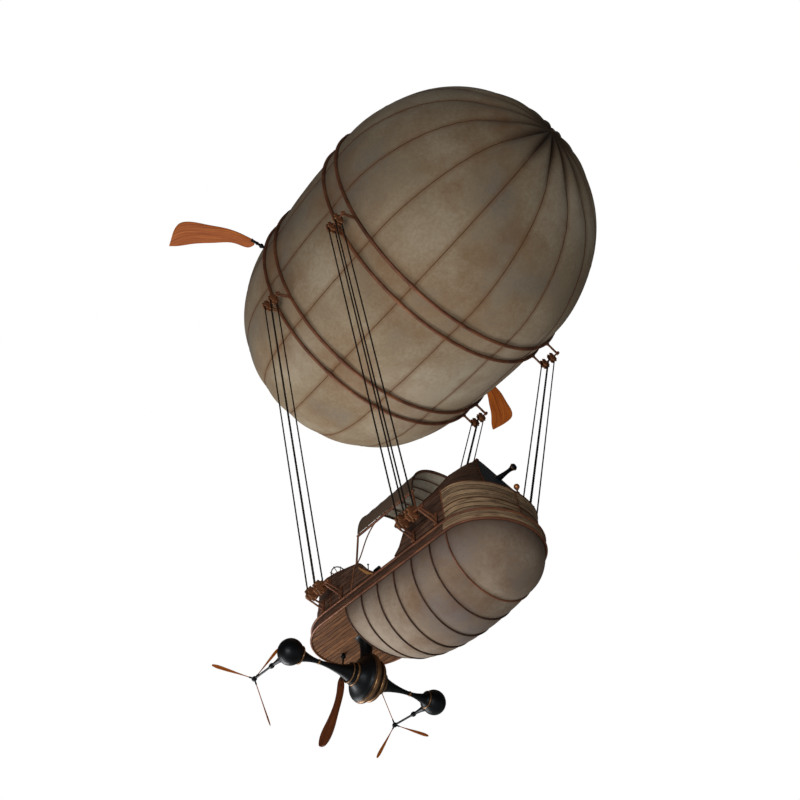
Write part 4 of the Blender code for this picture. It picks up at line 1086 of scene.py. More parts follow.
@dataclass
class Hull:
    """The boat: a floor of boards, two rails, planked bulwarks and their straps."""

    half_width: float = 1.32
    bow_start: float = 2.36
    bow_length: float = 1.195
    stern_start: float = -2.50
    stern_length: float = 1.53
    wall_bow: float = 2.45
    wall_stern: float = -2.35
    bottom: float = -13.46
    deck_top: float = -13.1725
    rail_radius: float = 0.029
    rail_heights: tuple[float, float] = (-13.20, -13.46)
    wall: float = 0.06
    sections: Table = ((-13.1725, 1.275, 3.500, -3.98), (-12.80, 1.320, 3.410, -3.84),
                       (-12.30, 1.380, 3.350, -3.66))
    top_aft: Table = ((-2.35, -12.22), (-1.915, -12.28), (-1.035, -12.488), (-0.91, -12.535), (-0.64, -12.85),
                      (-0.315, -13.104))
    top_fore: Table = ((0.46, -13.062), (0.68, -12.913), (0.866, -12.658), (1.146, -12.488), (1.50, -12.31),
                       (2.45, -12.31))
    seams: tuple[float, ...] = (-12.80, -12.30)
    paint_line: float = 2.304
    band_straps: tuple[float, ...] = (2.304, 1.102, -0.188, -1.422, -2.658)
    wall_straps: Table = ((2.317, -12.27, 2.300, -13.15), (-1.124, -12.46, -1.360, -13.13),
                          (-2.190, -12.23, -2.255, -13.13))
    cheek: Table = ((-0.95, -12.62, -12.66), (-0.66, -12.87, -12.97), (-0.38, -13.095, -13.115))

    def outline(self, reach: float, steps: int = 24) -> Array:
        """The plan of the side: half ellipses at bow and stern joined by straight sides.

        Args:
            reach: How far outside the hull's side the line lies.
            steps: Points in a quarter ellipse.

        Returns:
            (n, 2) points once round.
        """
        turn = np.linspace(0, math.pi / 2, steps + 1)
        half = self.half_width + reach
        x = np.concatenate([self.stern_start - (self.stern_length + reach) * np.cos(turn),
                            np.linspace(self.stern_start, self.bow_start, 14)[1:-1],
                            self.bow_start + (self.bow_length + reach) * np.sin(turn)])
        one = np.stack([x, -half * np.concatenate([np.sin(turn), np.ones(12), np.cos(turn)])], axis=1)
        return np.vstack([one, (one * (1, -1))[::-1][1:-1]])

    def rail(self, height: float) -> Shape:
        """A round rail all the way round the side.

        Args:
            height: Its height.

        Returns:
            The rail.
        """
        plan = self.outline(self.rail_radius + SEAT)
        path = np.hstack([plan, np.full((len(plan), 1), height)])
        return swept(path, circle(self.rail_radius, 16), closed=True)

    def band(self, bow: bool) -> Shape:
        """Two strakes round the floor's edge between the rails.

        Args:
            bow: Ahead of the paint line, or else abaft it.

        Returns:
            The strakes.
        """
        plan = self.outline(0.0)
        ahead = np.flatnonzero(plan[:, 0] > self.paint_line)
        starboard = np.array([[self.paint_line, -self.half_width]])
        port = starboard * (1, -1)
        if bow:
            line = np.vstack([starboard, plan[ahead], port])
        else:
            line = np.vstack([port, plan[ahead[-1] + 1:], plan[:ahead[0]], starboard])
        boards = []
        for number, (low, high) in enumerate(((-13.45, -13.322), (-13.316, -13.185))):
            path = np.hstack([line, np.full((len(line), 1), (low + high) / 2)])
            boards.append(swept(path, rounded(0.028, high - low, 0.006) - (0.014, 0.0), board=3.0 + number))
        return joined(boards)

    def floor_boards(self, face: float, inward: float, width: float, reach: float, first: float) -> Shape:
        """Boards along X that fill the plan, each end on the ellipse x = x0 + L sqrt(1 - (y / W)^2).

        Args:
            face: Height of the boards' outer side.
            inward: The direction and thickness from there into the floor.
            width: A board's width.
            reach: How far outside the hull's side the plan lies.
            first: The first board's number.

        Returns:
            All the boards.
        """
        half = self.half_width + reach
        count = round(2 * half / width)
        edges = np.linspace(-half, half, count + 1)

        def skin(run: Array, across: Array, deep: Array) -> Array:
            """Places a board's points on the floor.

            Args:
                run: Places from 0 at the stern's curve to 1 at the bow's.
                across: The points' y.
                deep: Depths into the floor.

            Returns:
                The points.
            """
            fall = np.sqrt(np.clip(1 - (across / half) ** 2, 0, 1))
            low = self.stern_start - (self.stern_length + reach) * fall
            high = self.bow_start + (self.bow_length + reach) * fall
            height = face + math.copysign(1.0, inward) * deep
            return np.stack([low + run * (high - low), across, height], axis=-1)

        run = np.linspace(0, 1, 13)
        boards = [plank(skin, run, a + 0.003, b - 0.003, abs(inward), first + k, 0.009, 3)
                  for k, (a, b) in enumerate(zip(edges, edges[1:]))]
        return joined(boards)

    def wall_point(self, along: Array, height: Array, inset: Array) -> Array:
        """Points of the walls: quarter ellipses at stern and bow, and straight sides between them.

        Args:
            along: Places along the half plan, below zero to starboard: 0 stern, 1 to 2 the side, 3 bow.
            height: The points' z.
            inset: Depths under the outside.

        Returns:
            The points.
        """
        table = np.array(sorted(self.sections))
        half, bow, stern = (np.interp(height, table[:, 0], table[:, k]) + way * inset
                            for k, way in ((1, -1), (2, -1), (3, 1)))
        side, place = np.sign(along), np.abs(along)
        turn = np.pi / 2 * np.clip(place, 0, 1)
        bend = np.pi / 2 * np.clip(place - 2, 0, 1)
        x = np.where(place < 1, self.wall_stern - (self.wall_stern - stern) * np.cos(turn),
                     np.where(place < 2, self.wall_stern + (place - 1) * (self.wall_bow - self.wall_stern),
                              self.wall_bow + (bow - self.wall_bow) * np.sin(bend)))
        wide = np.where(place < 1, np.sin(turn), np.where(place < 2, 1.0, np.cos(bend)))
        return np.stack([x, side * half * wide, height], axis=-1)

    def place(self, x: Array | float) -> Array:
        """The place along the half plan of an x on the straight side."""
        return 1 + (np.asarray(x) - self.wall_stern) / (self.wall_bow - self.wall_stern)

    def top(self, along: Array, fore: bool) -> Array:
        """The wall's top height.

        Args:
            along: Places along the half plan.
            fore: At the fore bulwark, or else at the aft one.

        Returns:
            The heights.
        """
        table = np.array(self.top_fore if fore else self.top_aft)
        x = self.wall_stern + (np.abs(along) - 1) * (self.wall_bow - self.wall_stern)
        return np.interp(x, table[:, 0], table[:, 1])

    def run(self, fore: bool, high: float, span: tuple[float, float] = (0.0, 3.0)) -> Array:
        """Places along a bulwark where its top is over a height.

        Args:
            fore: The fore bulwark, or else the aft one.
            high: The height.
            span: The places to stay between.

        Returns:
            (49,) places along the half plan.
        """
        place = np.linspace(1.0, 2.0, 801)
        over = place[self.top(place, fore) > high + 0.004]
        low, high = (over.min(), 3.0) if fore else (0.0, over.max())
        return np.clip(np.linspace(max(low, span[0]), min(high, span[1]), 49), 1e-4, 2.9999)

    def bulwark(self, fore: bool, span: tuple[float, float] = (0.0, 3.0)) -> Shape:
        """Strakes of a bulwark on both sides.

        Args:
            fore: The fore bulwark, or else the aft one.
            span: The places along the half plan to stay between.

        Returns:
            The strakes.
        """
        floor = self.deck_top + 0.0003
        ceiling = float(self.top(np.array([2.0 if fore else 1.0]), fore)[0])
        edges = [floor]
        for seam in (*self.seams, ceiling):
            parts = max(1, round((seam - edges[-1]) / 0.125))
            if seam - edges[-1] > 0.02:
                edges += list(np.linspace(edges[-1], seam, parts + 1)[1:])
        boards = []
        for number, (low, high) in enumerate(zip(edges, edges[1:])):
            half = self.run(fore, low, span)
            if half[-1] - half[0] < 0.01:
                continue
            limit = np.minimum(self.top(half, fore), high) - 0.003
            for side in SIDES:
                boards.append(plank(self.wall_point, side * half, low + 0.003, limit, self.wall,
                                    40 * (2 if fore else 1) + number + 0.5 * side, 0.010, 2))
        return joined(boards)

    def beads(self) -> Shape:
        """Beads over the lower seam of the bulwarks.

        Returns:
            The beads.
        """
        lines = []
        for fore in (True, False):
            half = self.run(fore, self.seams[0])
            height = np.full_like(half, self.seams[0])
            for side in SIDES:
                path = self.wall_point(side * half, height, np.full_like(half, -0.004))
                lines.append(swept(path, rounded(0.016, 0.026, 0.005)))
        return joined(lines)

    def caps(self) -> Shape:
        """A capping board along the top edge of each bulwark.

        Returns:
            The caps.
        """
        lines = []
        for fore in (True, False):
            table = np.array(self.top_fore if fore else self.top_aft)
            straight = self.place(np.linspace(table[0, 0], table[-1, 0], 40))
            bend = np.linspace(0.0, 1.0, 25)
            half = np.concatenate([straight, 2 + bend[1:]] if fore else [bend[:-1], straight])
            half = np.clip(half, 1e-4, 2.9999)
            height = self.top(half, fore) + 0.004
            for side in SIDES:
                path = self.wall_point(side * half, height, np.full_like(half, self.wall / 2))
                lines.append(swept(path, rounded(self.wall + 0.03, 0.022, 0.006)))
        return joined(lines)

    def strap_shapes(self) -> Shape:
        """Flat straps over the band and the walls at set places, the stem's among them.

        Returns:
            The straps.
        """
        straps = []
        for side in SIDES:
            y = side * (self.half_width + 0.010)
            for x in self.band_straps:
                path = np.array([(x, y, -13.43), (x, y, -13.23)])
                straps.append(swept(path, rounded(0.024, 0.036, 0.005), (1, 0, 0)))
            for top_x, high, low_x, low in self.wall_straps:
                share = np.linspace(0, 1, 9)
                place = self.place(top_x + share * (low_x - top_x))
                path = self.wall_point(side * place, high + share * (low - high), np.full(9, -0.006))
                straps.append(swept(path, rounded(0.014, 0.036, 0.004), (1, 0, 0)))
        height = np.linspace(-13.15, -12.31, 9)
        stem = self.wall_point(np.full(9, -2.9999), height, np.full(9, -0.006))
        straps.append(swept(stem, rounded(0.014, 0.045, 0.004), (0, 1, 0)))
        return joined(straps)

    def cheeks(self) -> Shape:
        """A thin board on the outer face under the sloping end of each aft bulwark.

        Returns:
            The two boards.
        """
        x, high, low = np.array(self.cheek).T
        boards = []
        for side in SIDES:
            upper, lower = (self.wall_point(side * self.place(x), edge, np.full_like(x, -0.012))
                            for edge in (high, low))
            boards.append(paddle(upper, lower, (0, 1, 0), np.full(len(x), 0.009), float(side), 12))
        return joined(boards)

    def build(self) -> None:
        """Makes the floor, the rails, the bulwarks and the trim."""
        piece("stern_boards", self.floor_boards(self.bottom, 0.135, 0.120, -0.001, 100), STERN_PLANKS,
              replaces=["deck"])
        piece("deck_boards", self.floor_boards(self.deck_top, -0.135, 0.14, -0.03, 200), SIDE_PLANKS)
        piece("side_band", self.band(False), SIDE_PLANKS)
        piece("bow_band", self.band(True), BOW_PLANKS)
        for height, name in zip(self.rail_heights, ("upper", "lower")):
            piece(f"rail_tube_{name}", self.rail(height), BRONZED, replaces=[f"rail_{name}"])
        piece("bulwark_aft", self.bulwark(False), SIDE_PLANKS,
              replaces=["wall_aft_starboard", "wall_aft_port", "wall_stern"])
        line = float(self.place(self.paint_line))
        piece("bulwark_waist", self.bulwark(True, (0.0, line)), SIDE_PLANKS,
              replaces=["wall_fore_starboard", "wall_fore_port"])
        piece("bulwark_bow", self.bulwark(True, (line, 3.0)), BOW_PLANKS, replaces=["wall_bow"])
        piece("hull_beads", self.beads(), TRIM_WOOD)
        piece("hull_caps", self.caps(), TRIM_WOOD)
        piece("hull_straps", self.strap_shapes(), BRONZED)
        piece("hull_cheeks", self.cheeks(), CHEEK_WOOD)


@dataclass
class Belly:
    """The canvas bag under the hull and the seven ribs that hold it."""

    ribs: Table = ((2.36, 1.17), (1.78, 1.35), (1.11, 1.45), (0.45, 1.44), (-0.19, 1.35), (-0.83, 1.16),
                   (-1.49, 0.83))
    half_width: float = 1.308
    bow_start: float = 2.36
    bow_length: float = 1.183
    tip: float = 3.543
    top: float = -13.4603
    rib_low: float = -13.4993
    rib: float = 0.019
    rib_gap: float = 0.62
    bulge: float = 0.045

    def width(self, x: Array) -> Array:
        """Half width W, and W sqrt(1 - ((x - x0) / L)^2) round the bow."""
        part = np.clip((x - self.bow_start) / self.bow_length, 0, 1)
        return self.half_width * np.sqrt(1 - part**2)

    def depth(self, x: Array) -> Array:
        """Depth through the ribs' own, and as an ellipse ahead of the first rib.

        Args:
            x: Stations.

        Returns:
            Depths under the top.
        """
        table = np.array(sorted(self.ribs))
        part = np.clip((x - table[-1, 0]) / (self.tip - table[-1, 0]), 0, 1)
        return np.interp(x, table[:, 0], table[:, 1]) * np.sqrt(1 - part**2)

    def section(self, x: Array, angle: Array, out: Array | float = 0.0) -> Array:
        """Half ellipses y = -w cos a, z = top - d sin a, moved out along their normals.

        Args:
            x: (rows,) stations.
            angle: (columns,) from 0 at starboard to pi at port.
            out: How far out, for all or each row and column.

        Returns:
            (rows, columns, 3) points.
        """
        wide, deep = self.width(x)[:, None], self.depth(x)[:, None]
        c, s = np.cos(angle)[None, :], np.sin(angle)[None, :]
        ny, nz = -c / np.maximum(wide, 1e-3), -s / np.maximum(deep, 1e-3)
        size = np.hypot(ny, nz)
        y = -wide * c + out * ny / size
        z = self.top - deep * s + out * nz / size
        return np.stack([np.broadcast_to(x[:, None], y.shape), y, z], axis=-1)

    def bag(self) -> Shape:
        """The bag: the sections, full by b 4 t (1 - t) between two ribs, a flat top and a dished end.

        Returns:
            The bag.
        """
        stations = sorted(x for x, _ in self.ribs)
        runs = [np.linspace(a, b, 13)[:-1] for a, b in zip(stations, stations[1:])]
        turn = np.linspace(0, np.pi / 2 - 0.02, 30)
        bow = stations[-1] + (self.tip - stations[-1]) * np.sin(turn)
        x = np.concatenate(runs + [bow])
        between = np.concatenate([np.linspace(0, 1, 13)[:-1]] * len(runs) + [np.zeros(len(bow))])
        angle = np.linspace(0, np.pi, 61)
        full = self.bulge * (4 * between * (1 - between))[:, None] ** 0.8 * np.sin(angle)[None, :] ** 0.9
        lead = 0.04 * np.sin(2 * turn)[:, None] * np.sin(angle)[None, :]
        full = np.vstack([full[: len(x) - len(bow)], lead])
        points = self.section(x, angle, full)
        part = between[:-len(bow)]
        gap = np.concatenate([np.minimum(part, 1 - part) * self.rib_gap, np.linspace(0, 2, 30)])
        grain = grained(angle[None, :] * 1.4, gap[:, None], 0.0)
        centre = np.array([stations[0], 0.0, self.top - 0.3])
        rings = []
        for share, sink in ((0.94, 0.03), (0.75, 0.07), (0.5, 0.10), (0.25, 0.12)):
            rings.append(centre + share * (points[0] - centre) + (sink, 0, 0))
        points = np.concatenate([np.stack(rings[::-1]), points])
        grain = np.concatenate([grain[:1].repeat(4, 0), grain])
        return lattice(points, grain)

    def rib_shape(self, x: float) -> Shape:
        """A round rib from under the lower rail round the bag and up again.

        Args:
            x: Its station.

        Returns:
            The rib.
        """
        angle = np.linspace(0, np.pi, 49)
        arc = self.section(np.array([x]), angle, self.rib * 1.15)[0]
        first, last = arc[0].copy(), arc[-1].copy()
        first[2] = last[2] = self.rib_low
        foot = (0.0, 0.0, 0.03)
        path = np.vstack([first, first - foot, arc[2:-2], last - foot, last])
        return swept(path, circle(self.rib, 12), AHEAD)

    def build(self) -> None:
        """Makes the bag and the ribs."""
        bag = piece("belly_canvas", self.bag(), BELLY_CLOTH, replaces=["belly"], sharp=70)
        for number, (x, _) in enumerate(self.ribs, 1):
            finish = BRONZED if number == 1 else RIB_IRON
            piece(f"belly_bow_{number}", self.rib_shape(x), finish, replaces=[f"belly_rib_{number}"])


@dataclass
class Forecastle:
    """The planked hood over the bow, the slate panel that closes it, the barrel and the lamp."""

    hull: Hull
    rear: Table = ((1.62, 1.27, -12.10), (1.75, 1.08, -11.84), (1.88, 0.66, -11.18), (2.00, 0.36, -10.86),
                   (2.17, 0.0, -10.56))
    front: Table = ((3.00, 0.66, -12.00), (2.78, 0.50, -11.60), (2.52, 0.29, -11.10), (2.35, 0.12, -10.76),
                    (2.24, 0.0, -10.56))
    foot: tuple[float, float] = (1.802, 2.606)
    wall_top: float = -12.31
    stem: tuple[float, float, float] = (3.28, 0.0, -12.3095)
    barrel_z: float = -11.63

    def surface(self, run: Array, rise: Array, deep: Array) -> Array:
        """The hood's starboard half: straight lines between its rear and front edges, bent over the wall.

        Args:
            run: Places from 0 at the rear edge to 1 at the front.
            rise: Places from 0 at the foot to 1 at the ridge.
            deep: Depths under the outside.

        Returns:
            Points, y below zero.
        """
        place = self.foot[0] + run * (self.foot[1] - self.foot[0])
        flat = np.full_like(place, self.wall_top)
        foot = self.hull.wall_point(-np.minimum(place, 2.9999), flat, np.zeros_like(place))
        ends = self.hull.wall_point(-np.array(self.foot), np.full(2, self.wall_top), np.zeros(2))
        knots = np.linspace(0, 1, len(self.rear) + 1)
        rear = np.vstack([ends[:1], np.array(self.rear) * (1, -1, 1)])
        front = np.vstack([ends[1:], np.array(self.front) * (1, -1, 1)])
        aft = np.stack([np.interp(rise, knots, rear[:, k]) for k in range(3)], axis=-1)
        ahead = np.stack([np.interp(rise, knots, front[:, k]) for k in range(3)], axis=-1)
        straight = ends[0] + run[..., None] * (ends[1] - ends[0])
        points = aft + run[..., None] * (ahead - aft) + (foot - straight) * (1 - rise[..., None])
        points[..., 1] = np.minimum(points[..., 1] + deep, 0.0)
        points[..., 2] = np.where(points[..., 1] > -1e-6, points[..., 2] - deep, points[..., 2])
        return points

    def boards(self) -> Shape:
        """Boards that run fore and aft up the hood, one half and its mirror image.

        Returns:
            The boards.
        """
        edges = np.linspace(0, 1, 24)
        run = np.linspace(0, 1, 13)
        half = [plank(self.surface, run, a + 0.0012, b - 0.0012, 0.058, 300 + k, 0.005, 3)
                for k, (a, b) in enumerate(zip(edges, edges[1:]))]
        for shape in half:
            width = np.ptp(shape.points[:, 2]) + np.ptp(shape.points[:, 1])
            shape.grain[:, 1] *= 2.5 * max(1.0, width)
        return joined(half + [shape.mirrored() for shape in half])

    def edges(self) -> Shape:
        """Battens along the hood's front and rear edges and a ridge cap.

        Returns:
            The battens and the cap.
        """
        strips = []
        for run, shift in ((1.0, 0.012), (0.0, -0.006)):
            rise = np.linspace(0, 1, 26)
            line = self.surface(np.full(26, run), rise, np.full(26, 0.02)) + (shift, 0, 0)
            for flip in (1, -1):
                strips.append(swept(line * (1, flip, 1), rounded(0.07, 0.035, 0.008), (1, 0, 0)))
        ridge = np.array([(2.13, 0, -10.565), (2.28, 0, -10.565)])
        strips.append(swept(ridge, rounded(0.09, 0.06, 0.015)))
        return joined(strips)

    def panel(self) -> Shape:
        """The slate panel: the hood's front edge drawn to the stem's head, p = edge + t (stem - edge).

        Returns:
            The panel.
        """
        rise = np.linspace(0, 1, 26)
        line = self.surface(np.ones(26), rise, np.full(26, 0.03)) + (0.004, 0, 0)
        rim = np.vstack([line, (line * (1, -1, 1))[::-1][1:]])
        stem = np.array(self.stem)
        share = np.linspace(0, 1, 12)[:, None, None]
        front = rim[None] + share * (stem - rim)[None]
        points = np.concatenate([front + (0.026, 0, 0), front[::-1]])
        grain = grained(points[..., 0], points[..., 1], 0.0)
        return lattice(points, grain, wrap_rows=True, wrap_columns=False)

    def barrel(self) -> Shape:
        """The barrel: a breech ring, a swelling, a slim neck and a flared muzzle with a bore.

        Returns:
            The barrel.
        """
        profile = [(0.0, 2.60), (0.085, 2.60), (0.085, 2.86), (0.080, 2.92), (0.070, 3.00), (0.058, 3.10),
                   (0.050, 3.20), (0.048, 3.28), (0.054, 3.34), (0.070, 3.385), (0.083, 3.42), (0.085, 3.445),
                   (0.074, 3.475), (0.055, 3.475), (0.045, 3.455), (0.040, 3.40), (0.036, 3.0), (0.0, 3.0)]
        return turned(profile, (0, 0, self.barrel_z), "x", 32)

    def rings(self) -> Shape:
        """Two bronze rings on the barrel."""
        profiles = [ring_profile(radius, x, 0.011, 0.014) for x, radius in ((3.435, 0.083), (2.875, 0.084))]
        return joined([turned(rows, (0, 0, self.barrel_z), "x", 32, looped=True) for rows in profiles])

    def lamp(self) -> tuple[Shape, Shape]:
        """The lamp on the wall's top.

        Returns:
            Its copper globe and its foot.
        """
        place = (3.321, 0.14, self.wall_top + 0.0003)
        turn = np.linspace(math.radians(12), math.radians(168), 12)
        side = [(0.073 * math.sin(a), 0.219 + 0.073 * math.cos(a)) for a in turn]
        globe = [(0.0, 0.292), *side, (0.0, 0.148)]
        foot = [(0.0, 0.155), (0.036, 0.155), (0.042, 0.14), (0.024, 0.12), (0.018, 0.09), (0.024, 0.06),
                (0.046, 0.04), (0.054, 0.02), (0.054, 0.0), (0.0, 0.0)]
        return turned(globe, place, "z", 24), turned(foot, place, "z", 24)

    def build(self) -> None:
        """Makes the hood, the panel and the fittings on them."""
        piece("hood_boards", self.boards(), SIDE_PLANKS, replaces=["hood"])
        piece("hood_battens", self.edges(), TRIM_WOOD)
        piece("prow_slate", self.panel(), SLATE_BOARD, replaces=["prow_panel"])
        piece("gun_barrel", self.barrel(), GUN_STEEL, replaces=["barrel"])
        piece("gun_rings", self.rings(), RING_BRONZE)
        globe, foot = self.lamp()
        piece("lamp_globe", globe, LAMP_COPPER, replaces=["lamp"])
        piece("lamp_foot", foot, BRONZED)


@dataclass
class Canopy:
    """The canvas awning on its hoops, posts and braces."""

    fore: float = 1.35
    aft: float = -0.92
    half: float = 1.44
    eave: float = -11.66
    crown: float = -10.62
    power: float = 2.6
    cloth: float = 0.005
    bar: float = 0.021
    thin: float = 0.014
    hoops: int = 7
    posts: Table = ((-0.94, -1.20, -1.40), (1.33, 1.33, 1.33))
    post_foot: float = 1.13
    knee: tuple[float, float] = (1.25, -12.40)
    deck: float = -13.1725
    brace: Table = ((-0.18, 0.0, -11.70), (-0.45, 0.12, -11.83), (-0.72, 0.36, -12.05), (-0.97, 0.70, -12.28),
                    (-1.18, 0.96, -12.385))

    def arch(self, inset: Array | float, angle: Array) -> Array:
        """The section: y = -h sgn(c) |c|^(2/n), z = eave + r |s|^(2/n), with c and s of the angle.

        Args:
            inset: How far inside the sheet's outside.
            angle: From 0 at starboard to pi at port.

        Returns:
            Points of y and z.
        """
        c, s = np.cos(angle), np.sin(angle)
        half, rise = self.half - inset, self.crown - self.eave - inset
        y = -half * np.sign(c) * np.abs(c) ** (2 / self.power)
        return np.stack([y, self.eave + rise * np.abs(s) ** (2 / self.power)], axis=-1)

    def reach(self) -> float:
        """How far a hoop's middle line lies inside the sheet's outside."""
        return 0.010 + self.bar * math.cos(math.radians(30)) + SEAT

    def hoop_places(self) -> Array:
        """The x of each hoop."""
        return np.linspace(self.aft + 0.03, self.fore - 0.03, self.hoops)

    def sheet(self) -> Shape:
        """One curved sheet: the arch, sagging by s 4 t (1 - t) sin a between two hoops, with an inner side.

        Returns:
            The sheet.
        """
        places = self.hoop_places()
        stations = np.concatenate([[self.aft], places, [self.fore]])
        x = np.unique(np.concatenate([np.linspace(a, b, 11) for a, b in zip(stations, stations[1:])]))
        low = np.clip(np.searchsorted(places, x, "right") - 1, 0, self.hoops - 2)
        part = np.clip((x - places[low]) / (places[low + 1] - places[low]), 0, 1)
        sag = 0.012 * 4 * part * (1 - part)
        angle = np.linspace(0, np.pi, 57)
        layers = []
        for inset in (0.0, self.cloth):
            depth = sag[:, None] * np.sin(angle)[None, :] ** 0.5 + inset
            arch = self.arch(depth, np.broadcast_to(angle[None, :], depth.shape))
            layers.append(grained(x[:, None], arch[..., 0], arch[..., 1]))
        points = np.concatenate([layers[0], layers[1][:, ::-1]], axis=1)
        gap = np.minimum(part, 1 - part) * (places[1] - places[0])
        rows, columns = points.shape[:2]
        # The outer layer gets edge 1, where the canvas paints its shade colour.
        outside = np.broadcast_to(np.repeat([1.0, 0.0], len(angle)), (rows, columns))
        grain = grained(0.0, gap[:, None], np.zeros((rows, columns)))
        front = lattice(points, grain, capped=False, edge=outside)
        half = columns // 2
        index = np.arange(rows * columns).reshape(rows, columns)
        for row, way in ((index[0], 1), (index[-1], -1)):
            outer, inner = row[:half], row[half:][::-1]
            ends = np.stack([outer[:-1], outer[1:], inner[1:], inner[:-1]], axis=-1)[:, ::way]
            front.faces.append(ends)
        return consistent(front)

    def hoop(self, x: float, foot: float, radius: float) -> Shape:
        """One bent hoop under the sheet.

        Args:
            x: Its station.
            foot: Height of its ends.
            radius: Its tube's radius.

        Returns:
            The hoop.
        """
        reach = self.reach()
        angle = np.linspace(0, np.pi, 49)[1:-1]
        arch = self.arch(reach, angle)
        side = self.half - reach
        line = np.hstack([np.full((len(arch), 1), x), arch])
        path = np.vstack([[x, -side, foot], line, [x, side, foot]])
        return swept(path, circle(radius, 10), AHEAD)

    def frame(self) -> Shape:
        """End hoops, eave bars, posts with shoes and curved braces.

        Returns:
            The frame.
        """
        edge = self.half - self.reach()
        eave = self.eave - 0.035 - SEAT
        shoe = [(0.0, 0.0), (0.058, 0.0), (0.058, 0.014), (0.036, 0.024), (0.034, 0.09), (0.0, 0.09)]
        places = self.hoop_places()
        parts = [self.hoop(places[0], eave, self.bar), self.hoop(places[-1], eave, self.bar)]
        for side in SIDES:
            y = side * edge
            parts.append(bar((self.aft - 0.05, y, eave), (self.fore + 0.05, y, eave), 0.034, 16))
            for head, knee, foot in self.posts:
                foot_y = side * self.post_foot
                knots = [(foot, foot_y, self.deck + 0.004), (knee, side * self.knee[0], self.knee[1]),
                         (head, y, eave)]
                parts.append(swept(straight_line(knots, 0.2), circle(0.027, 12), AHEAD))
                parts.append(turned(shoe, (foot, foot_y, self.deck + 0.0003), "z", 20))
            line = [(x, side * (edge + share * (self.knee[0] - edge)), z) for x, share, z in self.brace]
            parts.append(swept(smooth_line(line, 24), circle(0.017, 10), (0.0, 1.0, 0.0)))
        return joined(parts)

    def hem(self) -> Shape:
        """A rolled hem along both ends of the sheet."""
        y, z = self.arch(0.002, np.linspace(0, np.pi, 57)).T
        return joined([swept(grained(x, y, z), circle(0.012, 8), AHEAD)
                       for x in (self.aft, self.fore)])

    def build(self) -> None:
        """Makes the sheet, its hem, the hoops and the frame."""
        hem = piece("awning_hem", self.hem(), TRIM_CLOTH)
        sheet = piece("awning_sheet", self.sheet(), AWNING, replaces=["canopy"], sharp=60)
        places = self.hoop_places()
        hoops = [self.hoop(float(x), self.eave + 0.0003, self.thin) for x in places[1:-1]]
        height = self.crown - self.reach()
        hoops.append(bar((places[1], 0, height), (places[-2], 0, height), 0.017, 10))
        piece("awning_hoops", joined(hoops), BRONZED, replaces=["canopy_hoops"])
        piece("awning_frame", self.frame(), BRONZED, replaces=["canopy_frame"])


def consistent(shape: Shape) -> Shape:
    """Leaves a closed shape with all its faces turned out, by Blender's own recalculation.

    Args:
        shape: A closed shape whose faces may point either way.

    Returns:
        The same points with the faces turned.
    """
    mesh = bpy.data.meshes.new("check")
    mesh.from_pydata(shape.points, [], [tuple(int(i) for i in f) for block in shape.faces for f in block])
    work = bmesh.new()
    work.from_mesh(mesh)
    bmesh.ops.recalc_face_normals(work, faces=work.faces)
    quads = [np.array([[v.index for v in f.verts] for f in work.faces])]
    work.free()
    bpy.data.meshes.remove(mesh)
    return Shape(shape.points, quads, shape.grain, shape.edge).outward()


# Engine


